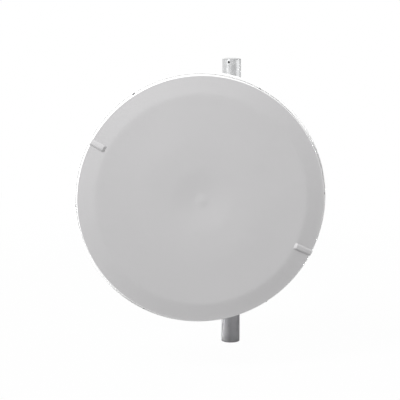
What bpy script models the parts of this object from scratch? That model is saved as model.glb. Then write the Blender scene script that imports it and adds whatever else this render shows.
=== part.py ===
# Parabolic dish antenna with a rigid radome, on a tilting bracket clamped to a round mast.
# Metres, +Z up. The dish looks along -Y. The origin is on the lower end face of the mast tube,
# in the middle of its wall, at the side that the dish is on.

import math

import bmesh
import bpy
from mathutils import Vector

# Mast: a round steel tube with a low domed cap
MAST_RADIUS = 0.0254
MAST_WALL = 0.003
MAST_LENGTH = 0.783
MAST_HOLE_RADIUS = 0.003
MAST_HOLE_DROP = 0.0064
MAST_HOLE_ANGLE = math.radians(-114)
CAP_BRIM = 0.001
CAP_DOME = 0.0035
CAP_PLUG_LENGTH = 0.003

# Where the dish sits on the mast
DISH_HEIGHT = 0.448
DISH_OFFSET = -0.109
FACE_TO_MAST = 0.325

# Radome: a moulded shell with a chamfered edge, a slightly crowned face and a shallow dip
FACE_RADIUS = 0.3055
FACE_ROUNDING = 0.0025
CREASE_RADIUS = 0.2612
CREASE_RISE = 0.0074
CONE_RADIUS = 0.165
CONE_SLOPE = 0.0425
CROWN_RADIUS = 0.110
DIP_RADIUS = 0.085
DIP_DEPTH = 0.0025
NIB_RADIUS = 0.020
NIB_RISE = 0.0012
RADOME_WALL = 0.0028
EDGE_FLARE = 0.001
SKIRT_RADIUS = 0.3090
FACE_RADII = (0.034, 0.051, 0.068, DIP_RADIUS, CROWN_RADIUS, 0.138, CONE_RADIUS, CREASE_RADIUS)
INNER_FACE_RADII = (CREASE_RADIUS, CONE_RADIUS, CROWN_RADIUS, 0.050)

# Reflector: a spun paraboloid with a channelled rim that the radome's skirt stands in
APERTURE_RADIUS = 0.300
FOCAL_LENGTH = 0.160
REFLECTOR_WALL = 0.002
RIM_RADIUS = 0.3145
RIM_WALL = 0.003
RIM_FRONT = -0.028
RIM_FLOOR = -0.040
RIM_CHAMFER = 0.001
HUB_HOLE_RADIUS = 0.024

# Collar inside the skirt, which takes the radome's screws
COLLAR_RADIUS = 0.3033
COLLAR_WALL = 0.0025
COLLAR_FRONT = -0.008

# Two clips across the chamfer, one reaching further in; angles run clockwise from the top, seen from the front
CLIP_ANGLES = {"radome_clip_left": math.radians(-61.4), "radome_clip_right": math.radians(116.5)}
CLIP_INNER_RADII = {"radome_clip_left": 0.2675, "radome_clip_right": 0.2585}
CLIP_WIDTH = 0.0158
CLIP_HEIGHT = 0.0032
CLIP_HOOK_DEPTH = 0.024
CLIP_HOOK_WALL = 0.002
CLIP_SEAT_LIFT = 0.0005
CLIP_CORNER = 0.0012

# Back ring between the reflector and the mount plate, with a foot that lies on the reflector's back
RING_RADIUS = 0.165
RING_WALL = 0.003
RING_FLANGE = 0.022
RING_FOOT_RADIUS = 0.181

# Feed
HUB_RADIUS = 0.050
HUB_MIDDLE_RADIUS = 0.030
HUB_NECK_RADIUS = 0.026
HUB_PLATE = 0.006
HUB_TAPER = 0.002
HUB_LENGTH = 0.040
FEED_TUBE_RADIUS = 0.0125
FEED_BORE_RADIUS = 0.0100
FEED_MOUTH_SETBACK = 0.012
SUB_REFLECTOR_RADIUS = 0.030
SUB_REFLECTOR_THICKNESS = 0.004
SUB_REFLECTOR_COLLAR = 0.003
SUB_REFLECTOR_PLUG = 0.010
WAVEGUIDE_FLANGE_SIDE = 0.064
WAVEGUIDE_FLANGE_THICKNESS = 0.008
WAVEGUIDE_FLANGE_CORNER = 0.006

# Dish side of the mount, distances forward of the mast's axis
PLATE_BACK = 0.129
PLATE_THICKNESS = 0.005
PLATE_HALF_HEIGHT = 0.072
PLATE_CORNER = 0.020
PLATE_RIGHT = 0.058
PLATE_LEFT = DISH_OFFSET - RING_RADIUS + 0.003
PLATE_HOLE_RADIUS = 0.056
EAR_INNER = 0.0405
EAR_THICKNESS = 0.005
EAR_FOOT_HALF_HEIGHT = 0.062
EAR_FRONT_ANGLE = math.radians(26.8)
EAR_TAIL_ANGLE = math.radians(2.9)
EAR_BOSS_START = math.radians(160)
EAR_BOSS_END = math.radians(255)

# Tilt pivot and its locking arc
PIVOT_FORWARD = 0.088
PIVOT_BOLT_RADIUS = 0.006
PIVOT_BOLT_FLATS = 0.0092
PIVOT_SPACER_RADIUS = 0.0115
PIVOT_BOSS_RADIUS = 0.016
LOCK_RADIUS = 0.050
LOCK_BOLT_RADIUS = 0.005
LOCK_BOLT_FLATS = 0.0080
LOCK_SPACER_RADIUS = 0.0100
LOCK_BOSS_RADIUS = 0.013
SIDE_HEAD_HEIGHT = 0.007
SIDE_NUT_HEIGHT = 0.009
SIDE_SHANK_END = 0.003
SLOT_HALF_WIDTH = 0.0056
SLOT_HALF_ANGLE = math.radians(21.5)
SLOT_EDGE = 0.009

# Mast side of the mount
CLAMP_HEIGHT = 0.105
JAW_HEIGHT = 0.040
JAW_HALF_WIDTH = 0.058
JAW_MOUTH = 0.012
JAW_FRONT = 0.047
JAW_REAR = 0.040
JAW_CORNER = 0.010
VEE_HALF_ANGLE = math.radians(60)
CLAMP_BOLT_X = 0.044
CLAMP_BOLT_RADIUS = 0.005
CLAMP_BOLT_FLATS = 0.0082
CLAMP_WASHER_RADIUS = 0.0105
CLAMP_HEAD_HEIGHT = 0.0065
CLAMP_NUT_HEIGHT = 0.0085
CLAMP_SHANK_END = 0.0075
WASHER_THICKNESS = 0.002
WEB_THICKNESS = 0.006
WEB_HALF_WIDTH = 0.035
WEB_HALF_HEIGHT = 0.127
WEB_SHOULDER_DROP = 0.0092
CHEEK_INNER = 0.030
CHEEK_THICKNESS = 0.005
CHEEK_FOOT_TOP = 0.066
CHEEK_FOOT_BOTTOM = -0.052
CHEEK_BOSS_START = math.radians(-60)

# Fits
GAP = 0.0003
HOLE_CLEARANCE = 0.0005
CUT_MARGIN = 0.005

# Roundness
DISH_SIDES = 60
TUBE_SIDES = 32
BOLT_SIDES = 12
HOLE_SIDES = 16
ARC_STEP = math.radians(15)

scene = bpy.context.scene
for old in list(scene.objects):
    bpy.data.objects.remove(old, do_unlink=True)


def make_material(name, colour, roughness, metallic):
    material = bpy.data.materials.new(name)
    material.use_nodes = True
    shader = material.node_tree.nodes["Principled BSDF"]
    shader.inputs["Base Color"].default_value = (*colour, 1.0)
    shader.inputs["Roughness"].default_value = roughness
    shader.inputs["Metallic"].default_value = metallic
    return material


def finish(name, bm, material, parent, location=(0, 0, 0), rotation=(0, 0, 0)):
    """Turns a bmesh into a named object with outward faces, smooth where it is round."""
    bmesh.ops.recalc_face_normals(bm, faces=bm.faces)
    mesh = bpy.data.meshes.new(name)
    bm.to_mesh(mesh)
    bm.free()
    mesh.shade_smooth()
    mesh.set_sharp_from_angle(angle=math.radians(35))
    mesh.materials.append(material)
    obj = bpy.data.objects.new(name, mesh)
    obj.parent = parent
    obj.location = location
    obj.rotation_euler = rotation
    scene.collection.objects.link(obj)
    return obj


def make_empty(name, parent, location, rotation=(0, 0, 0)):
    empty = bpy.data.objects.new(name, None)
    empty.parent = parent
    empty.location = location
    empty.rotation_euler = rotation
    scene.collection.objects.link(empty)
    return empty


def lathe(profile, sides):
    """Spins a closed outline of (radius, height) points once round the Z axis."""
    bm = bmesh.new()
    verts = [bm.verts.new((radius, 0, height)) for radius, height in profile]
    closed = profile[0][0] > 0 or profile[-1][0] > 0
    pairs = list(zip(verts, verts[1:]))
    if closed:
        pairs.append((verts[-1], verts[0]))
    edges = [bm.edges.new(pair) for pair in pairs]
    bmesh.ops.spin(
        bm, geom=verts + edges, cent=(0, 0, 0), axis=(0, 0, 1), angle=math.tau, steps=sides, use_merge=True
    )
    bmesh.ops.remove_doubles(bm, verts=bm.verts, dist=1e-6)
    return bm


def prism(outline, low, high, plane):
    """Extrudes an outline. The plane gives the outline's two axes, and the third is the depth."""
    place = {
        "XY": lambda u, v, w: (u, v, w),
        "XZ": lambda u, v, w: (u, w, v),
        "YZ": lambda u, v, w: (w, u, v),
    }[plane]
    bm = bmesh.new()
    base = bm.faces.new([bm.verts.new(place(u, v, low)) for u, v in outline])
    lifted = bmesh.ops.extrude_face_region(bm, geom=[base])["geom"]
    moved = [item for item in lifted if isinstance(item, bmesh.types.BMVert)]
    bmesh.ops.translate(bm, verts=moved, vec=Vector(place(0, 0, high - low)))
    return bm


def stack(stations, axis):
    """Joins rings of points along an axis. A station is (distance, radius, kind), kind round or hex.

    A hex ring's radius is half its width across flats.
    """
    bm = bmesh.new()
    rings = []
    for distance, radius, kind in stations:
        ring = []
        for step in range(BOLT_SIDES):
            corner = kind == "hex" and step % 2 == 0
            reach = radius / math.cos(math.pi / 6) if corner else radius
            angle = math.tau * step / BOLT_SIDES
            ring.append(bm.verts.new((reach * math.cos(angle), reach * math.sin(angle), distance)))
        rings.append(ring)
    for below, above in zip(rings, rings[1:]):
        for step in range(BOLT_SIDES):
            after = (step + 1) % BOLT_SIDES
            bm.faces.new((below[step], below[after], above[after], above[step]))
    bm.faces.new(rings[0])
    bm.faces.new(rings[-1])
    turn = Vector((0, 0, 1)).rotation_difference(axis).to_matrix()
    bmesh.ops.transform(bm, matrix=turn, verts=bm.verts)
    return bm


def arc(centre, radius, start, end):
    """Points on an arc from one angle to another, both ends included."""
    steps = max(1, round(abs(end - start) / ARC_STEP))
    angles = [start + (end - start) * step / steps for step in range(steps + 1)]
    return [(centre[0] + radius * math.cos(a), centre[1] + radius * math.sin(a)) for a in angles]


def rounded_box(low, high, corner):
    """An outline with four round corners, anticlockwise."""
    quarter = math.pi / 2
    points = []
    centres = (
        (high[0] - corner, high[1] - corner),
        (low[0] + corner, high[1] - corner),
        (low[0] + corner, low[1] + corner),
        (high[0] - corner, low[1] + corner),
    )
    for turn, centre in enumerate(centres):
        points += arc(centre, corner, turn * quarter, (turn + 1) * quarter)
    return points


def cut(target, bm, name):
    """Cuts a shape out of an object. The cutter shares the object's place and stays hidden."""
    place = (target.parent, target.location, target.rotation_euler)
    cutter = finish(name, bm, target.data.materials[0], *place)
    cutter.hide_render = True
    cutter.display_type = "WIRE"
    boolean = target.modifiers.new(name, "BOOLEAN")
    boolean.operation = "DIFFERENCE"
    boolean.solver = "EXACT"
    boolean.object = cutter


def hole(centre, radius, low, high, plane, sides=HOLE_SIDES):
    """A round cutter that runs a little past both of the depths given."""
    angles = [math.tau * step / sides for step in range(sides)]
    outline = [(centre[0] + radius * math.cos(a), centre[1] + radius * math.sin(a)) for a in angles]
    return prism(outline, low - CUT_MARGIN, high + CUT_MARGIN, plane)


def merged(parts):
    """One bmesh holding several that don't touch."""
    whole = bmesh.new()
    for part in parts:
        piece = bpy.data.meshes.new("piece")
        part.to_mesh(piece)
        part.free()
        whole.from_mesh(piece)
        bpy.data.meshes.remove(piece)
    return whole


def chamfer_height(radius):
    """Height of the radome's chamfer, forward of the plane of its edge."""
    return CREASE_RISE * (FACE_RADIUS - radius) / (FACE_RADIUS - CREASE_RADIUS)


def radome_height(radius):
    """How far the radome's outer face stands forward of the plane of its edge."""
    if radius > CREASE_RADIUS:
        return chamfer_height(radius)
    height = CREASE_RISE + CONE_SLOPE * (CREASE_RADIUS - max(radius, CONE_RADIUS))
    if radius < CONE_RADIUS:
        inward = CONE_RADIUS - max(radius, CROWN_RADIUS)
        height += CONE_SLOPE * (inward - inward**2 / (2 * (CONE_RADIUS - CROWN_RADIUS)))
    if radius < DIP_RADIUS:
        height -= DIP_DEPTH * (1 - (radius / DIP_RADIUS) ** 2) ** 2
    if radius < NIB_RADIUS:
        height += NIB_RISE * (0.5 + 0.5 * math.cos(math.pi * radius / NIB_RADIUS))
    return height


def dish_height(radius):
    """The reflector's front surface, from the plane of the radome's edge."""
    return RIM_FLOOR + (radius**2 - APERTURE_RADIUS**2) / (4 * FOCAL_LENGTH)


def dish_steepness(radius):
    """Length along the dish's slope for each unit of radius."""
    return math.hypot(1, radius / (2 * FOCAL_LENGTH))


def behind_dish(radius, depth):
    """Height of a surface that lies a depth behind the reflector's front, square to it."""
    return dish_height(radius) - depth * dish_steepness(radius)


def skirt_radius(height):
    """The radome's side flares a little from its rounded edge to its foot."""
    front = FACE_RADIUS + EDGE_FLARE
    part = (-FACE_ROUNDING - height) / (-FACE_ROUNDING - RIM_FLOOR)
    return front + (SKIRT_RADIUS - front) * part


def spaced(low, high, count):
    return [low + (high - low) * step / count for step in range(count + 1)]


galvanised = make_material("galvanised_steel", (0.56, 0.57, 0.59), 0.5, 0.7)
cap_plastic = make_material("cap_plastic", (0.50, 0.50, 0.51), 0.55, 0.0)
bracket_steel = make_material("bracket_steel", (0.60, 0.61, 0.63), 0.45, 0.8)
jaw_aluminium = make_material("jaw_aluminium", (0.66, 0.66, 0.67), 0.5, 0.9)
bolt_steel = make_material("bolt_steel", (0.62, 0.62, 0.64), 0.35, 0.9)
dish_paint = make_material("dish_paint", (0.80, 0.80, 0.81), 0.5, 0.0)
radome_plastic = make_material("radome_plastic", (0.72, 0.73, 0.74), 0.55, 0.0)
clip_plastic = make_material("clip_plastic", (0.74, 0.74, 0.75), 0.5, 0.0)
feed_aluminium = make_material("feed_aluminium", (0.70, 0.70, 0.71), 0.4, 0.9)

mast_axis = (0, MAST_RADIUS - MAST_WALL / 2, 0)
mast = make_empty("mast_axis", None, mast_axis)
azimuth_axis = make_empty("azimuth_axis", mast, (0, 0, DISH_HEIGHT))
elevation_axis = make_empty("elevation_axis", azimuth_axis, (0, -PIVOT_FORWARD, 0))
boresight = make_empty(
    "boresight",
    elevation_axis,
    (DISH_OFFSET, PIVOT_FORWARD - FACE_TO_MAST, 0),
    (math.pi / 2, 0, 0),
)

# Under boresight, +Z is forward and heights count from the plane of the radome's edge
mast_plane = -FACE_TO_MAST


def build_mast():
    inner = MAST_RADIUS - MAST_WALL
    tube = finish(
        "mast_tube",
        lathe([(MAST_RADIUS, MAST_LENGTH), (MAST_RADIUS, 0), (inner, 0), (inner, MAST_LENGTH)], TUBE_SIDES),
        galvanised,
        mast,
    )
    across = Vector((math.cos(MAST_HOLE_ANGLE), math.sin(MAST_HOLE_ANGLE), 0))
    ends = (inner - CUT_MARGIN, MAST_RADIUS + CUT_MARGIN)
    drill = stack([(end, MAST_HOLE_RADIUS, "round") for end in ends], across)
    bmesh.ops.translate(drill, verts=drill.verts, vec=(0, 0, MAST_LENGTH - MAST_HOLE_DROP))
    cut(tube, drill, "mast_hole_cutter")

    brim = [
        (MAST_RADIUS * math.cos(a), GAP + CAP_BRIM + CAP_DOME * math.sin(a))
        for a in spaced(math.pi / 2, 0, 6)
    ]
    brim[0] = (0, brim[0][1])
    plug = inner - GAP
    profile = brim + [(MAST_RADIUS, GAP), (plug, GAP), (plug, -CAP_PLUG_LENGTH), (0, -CAP_PLUG_LENGTH)]
    finish("mast_cap", lathe(profile, TUBE_SIDES), cap_plastic, mast, (0, 0, MAST_LENGTH))


def vee_apex():
    """Distance from the mast's axis to the bottom of a jaw's notch, its flanks just clear of the tube."""
    return (MAST_RADIUS + GAP) / math.sin(VEE_HALF_ANGLE)


def jaw_outline(depth):
    """A jaw seen from above, in (x, distance from the mast's axis)."""
    mouth = (vee_apex() - JAW_MOUTH) * math.tan(VEE_HALF_ANGLE)
    return [
        (-JAW_HALF_WIDTH, JAW_MOUTH),
        (-mouth, JAW_MOUTH),
        (0, vee_apex()),
        (mouth, JAW_MOUTH),
        (JAW_HALF_WIDTH, JAW_MOUTH),
        (JAW_HALF_WIDTH, depth - JAW_CORNER),
        (JAW_HALF_WIDTH - JAW_CORNER, depth),
        (-JAW_HALF_WIDTH + JAW_CORNER, depth),
        (-JAW_HALF_WIDTH, depth - JAW_CORNER),
    ]


def build_jaw(name, facing, depth, height):
    """facing is -1 for a jaw in front of the mast and 1 for one behind it."""
    outline = [(x, facing * y) for x, y in jaw_outline(depth)]
    jaw = finish(
        name,
        prism(outline, height - JAW_HEIGHT / 2, height + JAW_HEIGHT / 2, "XY"),
        jaw_aluminium,
        azimuth_axis,
    )
    radius = CLAMP_BOLT_RADIUS + HOLE_CLEARANCE
    low, high = sorted((facing * JAW_MOUTH, facing * depth))
    holes = [hole((x, height), radius, low, high, "XZ") for x in (-CLAMP_BOLT_X, CLAMP_BOLT_X)]
    cut(jaw, merged(holes), name + "_cutter")


def build_clamp_bolts():
    """Each bolt's head bears on a rear jaw, and its nut on the web plate."""
    seat = -JAW_REAR - GAP
    head = seat - WASHER_THICKNESS
    front_seat = JAW_FRONT + GAP + WEB_THICKNESS + GAP
    nut = front_seat + WASHER_THICKNESS
    nut_end = nut + CLAMP_NUT_HEIGHT
    stations = [
        (head - CLAMP_HEAD_HEIGHT, CLAMP_BOLT_FLATS, "hex"),
        (head, CLAMP_BOLT_FLATS, "hex"),
        (head, CLAMP_WASHER_RADIUS, "round"),
        (seat, CLAMP_WASHER_RADIUS, "round"),
        (seat, CLAMP_BOLT_RADIUS, "round"),
        (front_seat, CLAMP_BOLT_RADIUS, "round"),
        (front_seat, CLAMP_WASHER_RADIUS, "round"),
        (nut, CLAMP_WASHER_RADIUS, "round"),
        (nut, CLAMP_BOLT_FLATS, "hex"),
        (nut_end, CLAMP_BOLT_FLATS, "hex"),
        (nut_end, CLAMP_BOLT_RADIUS, "round"),
        (nut_end + CLAMP_SHANK_END, CLAMP_BOLT_RADIUS, "round"),
    ]
    for row, height in (("upper", CLAMP_HEIGHT), ("lower", -CLAMP_HEIGHT)):
        for side, x in (("left", -CLAMP_BOLT_X), ("right", CLAMP_BOLT_X)):
            bm = stack(stations, Vector((0, -1, 0)))
            finish(f"clamp_bolt_{row}_{side}", bm, bolt_steel, azimuth_axis, (x, 0, height))


def build_web():
    """Flat plate in front of the jaws, wide at the clamps and narrow between the tilt ears."""
    shoulder = CLAMP_HEIGHT - JAW_HEIGHT / 2
    half = [
        (WEB_HALF_WIDTH, shoulder - WEB_SHOULDER_DROP),
        (JAW_HALF_WIDTH, shoulder),
        *arc((JAW_HALF_WIDTH - JAW_CORNER, WEB_HALF_HEIGHT - JAW_CORNER), JAW_CORNER, 0, math.pi / 2),
    ]
    top = half + [(-x, z) for x, z in reversed(half)]
    outline = top + [(x, -z) for x, z in reversed(top)]
    back = -JAW_FRONT - GAP
    front = back - WEB_THICKNESS
    web = finish("bracket_web", prism(outline, front, back, "XZ"), bracket_steel, azimuth_axis)
    radius = CLAMP_BOLT_RADIUS + HOLE_CLEARANCE
    holes = [
        hole((x, z), radius, front, back, "XZ")
        for x in (-CLAMP_BOLT_X, CLAMP_BOLT_X)
        for z in (-CLAMP_HEIGHT, CLAMP_HEIGHT)
    ]
    cut(web, merged(holes), "bracket_web_cutter")


def build_cheek(name, side):
    """Upright plate on the web, with holes for the pivot bolt and the lock bolt."""
    foot = JAW_FRONT + GAP + WEB_THICKNESS + GAP
    pivot = (PIVOT_FORWARD, 0)
    lock = (PIVOT_FORWARD, LOCK_RADIUS)
    profile = [
        (foot, CHEEK_FOOT_BOTTOM),
        *arc(pivot, PIVOT_BOSS_RADIUS, CHEEK_BOSS_START, 0),
        *arc(lock, LOCK_BOSS_RADIUS, 0, math.pi / 2),
        (foot, CHEEK_FOOT_TOP),
    ]
    low, high = sorted((side * CHEEK_INNER, side * (CHEEK_INNER + CHEEK_THICKNESS)))
    outline = [(-forward, z) for forward, z in profile]
    cheek = finish(name, prism(outline, low, high, "YZ"), bracket_steel, azimuth_axis)
    holes = [
        hole((-forward, z), radius + HOLE_CLEARANCE, low, high, "YZ")
        for (forward, z), radius in ((pivot, PIVOT_BOLT_RADIUS), (lock, LOCK_BOLT_RADIUS))
    ]
    cut(cheek, merged(holes), name + "_cutter")


def build_side_bolt(name, side, shank, spacer, flats, height):
    """A bolt through a cheek and an ear, its head outside the ear and a spacer between the two plates."""
    nut_seat = CHEEK_INNER - GAP
    nut_end = nut_seat - SIDE_NUT_HEIGHT
    spacer_seats = (CHEEK_INNER + CHEEK_THICKNESS + GAP, EAR_INNER - GAP)
    washer_seat = EAR_INNER + EAR_THICKNESS + GAP
    head = washer_seat + WASHER_THICKNESS
    stations = [
        (nut_end - SIDE_SHANK_END, shank, "round"),
        (nut_end, shank, "round"),
        (nut_end, flats, "hex"),
        (nut_seat, flats, "hex"),
        (nut_seat, shank, "round"),
        (spacer_seats[0], shank, "round"),
        (spacer_seats[0], spacer, "round"),
        (spacer_seats[1], spacer, "round"),
        (spacer_seats[1], shank, "round"),
        (washer_seat, shank, "round"),
        (washer_seat, spacer, "round"),
        (head, spacer, "round"),
        (head, flats, "hex"),
        (head + SIDE_HEAD_HEIGHT, flats, "hex"),
    ]
    bm = stack(stations, Vector((side, 0, 0)))
    finish(name, bm, bolt_steel, azimuth_axis, (0, -PIVOT_FORWARD, height))


def build_ear(name, side):
    """Tilting ear with the pivot hole and a slot that is an arc about the pivot."""
    foot = PLATE_BACK - GAP - PIVOT_FORWARD
    edge = LOCK_RADIUS + SLOT_HALF_WIDTH + SLOT_EDGE
    inner_edge = LOCK_RADIUS - SLOT_HALF_WIDTH - SLOT_EDGE
    end_angle = SLOT_HALF_ANGLE + (SLOT_HALF_WIDTH + SLOT_EDGE) / LOCK_RADIUS
    up = math.pi / 2
    profile = [
        (foot, -EAR_FOOT_HALF_HEIGHT),
        (foot, EAR_FOOT_HALF_HEIGHT),
        *arc((0, 0), edge, up - EAR_FRONT_ANGLE, up + end_angle),
        *arc((0, 0), inner_edge, up + end_angle, up + end_angle + EAR_TAIL_ANGLE),
        *arc((0, 0), PIVOT_BOSS_RADIUS, EAR_BOSS_START, EAR_BOSS_END),
    ]
    low, high = sorted((side * EAR_INNER, side * (EAR_INNER + EAR_THICKNESS)))
    outline = [(-forward, z) for forward, z in profile]
    ear = finish(name, prism(outline, low, high, "YZ"), bracket_steel, elevation_axis)
    start, end = up - SLOT_HALF_ANGLE, up + SLOT_HALF_ANGLE
    slot_start = (LOCK_RADIUS * math.cos(start), LOCK_RADIUS * math.sin(start))
    slot_end = (LOCK_RADIUS * math.cos(end), LOCK_RADIUS * math.sin(end))
    slot = [
        *arc((0, 0), LOCK_RADIUS + SLOT_HALF_WIDTH, start, end),
        *arc(slot_end, SLOT_HALF_WIDTH, end, end + math.pi)[1:-1],
        *arc((0, 0), LOCK_RADIUS - SLOT_HALF_WIDTH, end, start),
        *arc(slot_start, SLOT_HALF_WIDTH, start - math.pi, start)[1:-1],
    ]
    holes = [
        hole((0, 0), PIVOT_BOLT_RADIUS + HOLE_CLEARANCE, low, high, "YZ"),
        prism([(-forward, z) for forward, z in slot], low - CUT_MARGIN, high + CUT_MARGIN, "YZ"),
    ]
    cut(ear, merged(holes), name + "_cutter")


def build_mount_plate():
    """Flat plate behind the back ring. It carries the ears, and the feed hub passes through it."""
    back = PIVOT_FORWARD - PLATE_BACK
    front = back - PLATE_THICKNESS
    low, high = (PLATE_LEFT, -PLATE_HALF_HEIGHT), (PLATE_RIGHT, PLATE_HALF_HEIGHT)
    outline = rounded_box(low, high, PLATE_CORNER)
    plate = finish("mount_plate", prism(outline, front, back, "XZ"), bracket_steel, elevation_axis)
    opening = hole((DISH_OFFSET, 0), PLATE_HOLE_RADIUS, front, back, "XZ", TUBE_SIDES)
    cut(plate, opening, "mount_plate_cutter")


def build_back_ring():
    """Deep ring: an inward flange at its back for the mount plate, and an outward foot at its front."""
    back = mast_plane + PLATE_BACK + PLATE_THICKNESS + GAP
    inner = RING_RADIUS - RING_WALL
    seat = REFLECTOR_WALL + GAP
    profile = [
        (inner, behind_dish(inner, seat)),
        (RING_FOOT_RADIUS, behind_dish(RING_FOOT_RADIUS, seat)),
        (RING_FOOT_RADIUS, behind_dish(RING_FOOT_RADIUS, seat + RING_WALL)),
        (RING_RADIUS, behind_dish(RING_RADIUS, seat + RING_WALL)),
        (RING_RADIUS, back),
        (RING_RADIUS - RING_FLANGE, back),
        (RING_RADIUS - RING_FLANGE, back + RING_WALL),
        (inner, back + RING_WALL),
    ]
    finish("back_ring", lathe(profile, DISH_SIDES), bracket_steel, boresight)


def build_reflector():
    """Paraboloid whose rim turns out to a flat floor and forward to a lip."""
    front = [(r, dish_height(r)) for r in spaced(HUB_HOLE_RADIUS, APERTURE_RADIUS, 9)]
    back = [(r, behind_dish(r, REFLECTOR_WALL)) for r, _ in reversed(front[:-1])]
    lip = RIM_RADIUS - RIM_WALL
    rim_back = RIM_FLOOR - REFLECTOR_WALL
    rim = [
        (lip, RIM_FLOOR),
        (lip, RIM_FRONT - RIM_CHAMFER),
        (lip + RIM_CHAMFER, RIM_FRONT),
        (RIM_RADIUS - RIM_CHAMFER, RIM_FRONT),
        (RIM_RADIUS, RIM_FRONT - RIM_CHAMFER),
        (RIM_RADIUS, rim_back + RIM_CHAMFER),
        (RIM_RADIUS - RIM_CHAMFER, rim_back),
        (APERTURE_RADIUS, rim_back),
    ]
    finish("reflector", lathe(front + rim + back, DISH_SIDES), dish_paint, boresight)


def build_collar():
    inner = COLLAR_RADIUS - COLLAR_WALL
    foot = RIM_FLOOR + GAP
    profile = [(COLLAR_RADIUS, COLLAR_FRONT), (COLLAR_RADIUS, foot), (inner, foot), (inner, COLLAR_FRONT)]
    finish("rim_collar", lathe(profile, DISH_SIDES), dish_paint, boresight)


def build_radome():
    """Shell of even thickness: face, rounded edge and flared skirt."""
    foot = RIM_FLOOR + GAP
    edge = FACE_RADIUS - FACE_ROUNDING
    edge_height = radome_height(edge)
    across = FACE_ROUNDING + EDGE_FLARE
    down = FACE_ROUNDING + edge_height
    outer = [(r, radome_height(r)) for r in (0, NIB_RADIUS / 2, NIB_RADIUS, *FACE_RADII, edge)]
    for angle in spaced(0, math.pi / 2, 4)[1:]:
        outer.append((edge + across * math.sin(angle), -FACE_ROUNDING + down * math.cos(angle)))
    outer.append((skirt_radius(foot), foot))
    inner = [
        (skirt_radius(foot) - RADOME_WALL, foot),
        (skirt_radius(-FACE_ROUNDING) - RADOME_WALL, -FACE_ROUNDING),
        (edge, edge_height - RADOME_WALL),
        *[(r, radome_height(r) - RADOME_WALL) for r in INNER_FACE_RADII],
        (0, radome_height(0) - RADOME_WALL),
    ]
    finish("radome", lathe(outer + inner, DISH_SIDES), radome_plastic, boresight)


def build_clip(name, clockwise):
    """Strip that lies along the chamfer and hooks over the radome's edge."""
    edge = FACE_RADIUS + EDGE_FLARE
    inner_end = CLIP_INNER_RADII[name]
    inner_seat = chamfer_height(inner_end) + GAP + CLIP_SEAT_LIFT
    edge_seat = chamfer_height(edge) + GAP + CLIP_SEAT_LIFT
    hook_foot = -CLIP_HOOK_DEPTH
    hook_inside = skirt_radius(hook_foot) + GAP
    outline = [
        (inner_end, inner_seat),
        (edge + GAP, edge_seat),
        (hook_inside, hook_foot),
        (hook_inside + CLIP_HOOK_WALL, hook_foot),
        (edge + GAP + CLIP_HOOK_WALL, edge_seat + CLIP_CORNER),
        (edge - CLIP_CORNER, edge_seat + CLIP_HEIGHT - CLIP_SEAT_LIFT),
        (inner_end + CLIP_CORNER, inner_seat + CLIP_HEIGHT - CLIP_SEAT_LIFT),
        (inner_end, inner_seat + CLIP_HEIGHT - CLIP_SEAT_LIFT - CLIP_CORNER),
    ]
    bm = prism(outline, -CLIP_WIDTH / 2, CLIP_WIDTH / 2, "XZ")
    turn = math.pi / 2 - clockwise
    finish(name, bm, clip_plastic, boresight, (0, 0, 0), (0, 0, turn))


def build_feed():
    vertex_back = dish_height(0) - REFLECTOR_WALL
    hub_back = vertex_back - HUB_LENGTH
    plate_back = vertex_back - HUB_PLATE
    bore = FEED_TUBE_RADIUS + GAP
    seat_radii = (bore, HUB_MIDDLE_RADIUS, HUB_RADIUS)
    hub = [
        *[(r, behind_dish(r, REFLECTOR_WALL) - GAP) for r in seat_radii],
        (HUB_RADIUS, plate_back),
        (HUB_NECK_RADIUS, plate_back - HUB_TAPER),
        (HUB_NECK_RADIUS, hub_back),
        (bore, hub_back),
    ]
    finish("feed_hub", lathe(hub, TUBE_SIDES), feed_aluminium, boresight)

    half = WAVEGUIDE_FLANGE_SIDE / 2
    flange_front = hub_back - GAP
    flange_back = flange_front - WAVEGUIDE_FLANGE_THICKNESS
    outline = rounded_box((-half, -half), (half, half), WAVEGUIDE_FLANGE_CORNER)
    plate = prism(outline, flange_back, flange_front, "XY")
    flange = finish("waveguide_flange", plate, feed_aluminium, boresight)
    opening = hole((0, 0), FEED_BORE_RADIUS, flange_back, flange_front, "XY", TUBE_SIDES)
    cut(flange, opening, "waveguide_flange_cutter")

    focus = dish_height(0) + FOCAL_LENGTH
    mouth = focus - FEED_MOUTH_SETBACK
    tube = [
        (FEED_TUBE_RADIUS, mouth),
        (FEED_TUBE_RADIUS, hub_back),
        (FEED_BORE_RADIUS, hub_back),
        (FEED_BORE_RADIUS, mouth),
    ]
    finish("feed_tube", lathe(tube, TUBE_SIDES), feed_aluminium, boresight)
    splash = [
        (0, focus + SUB_REFLECTOR_THICKNESS),
        (SUB_REFLECTOR_RADIUS, focus + SUB_REFLECTOR_THICKNESS),
        (SUB_REFLECTOR_RADIUS, focus),
        (FEED_TUBE_RADIUS + SUB_REFLECTOR_COLLAR, mouth + GAP),
        (FEED_BORE_RADIUS - GAP, mouth + GAP),
        (FEED_BORE_RADIUS - GAP, mouth - SUB_REFLECTOR_PLUG),
        (0, mouth - SUB_REFLECTOR_PLUG),
    ]
    finish("sub_reflector", lathe(splash, TUBE_SIDES), feed_aluminium, boresight)


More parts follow.
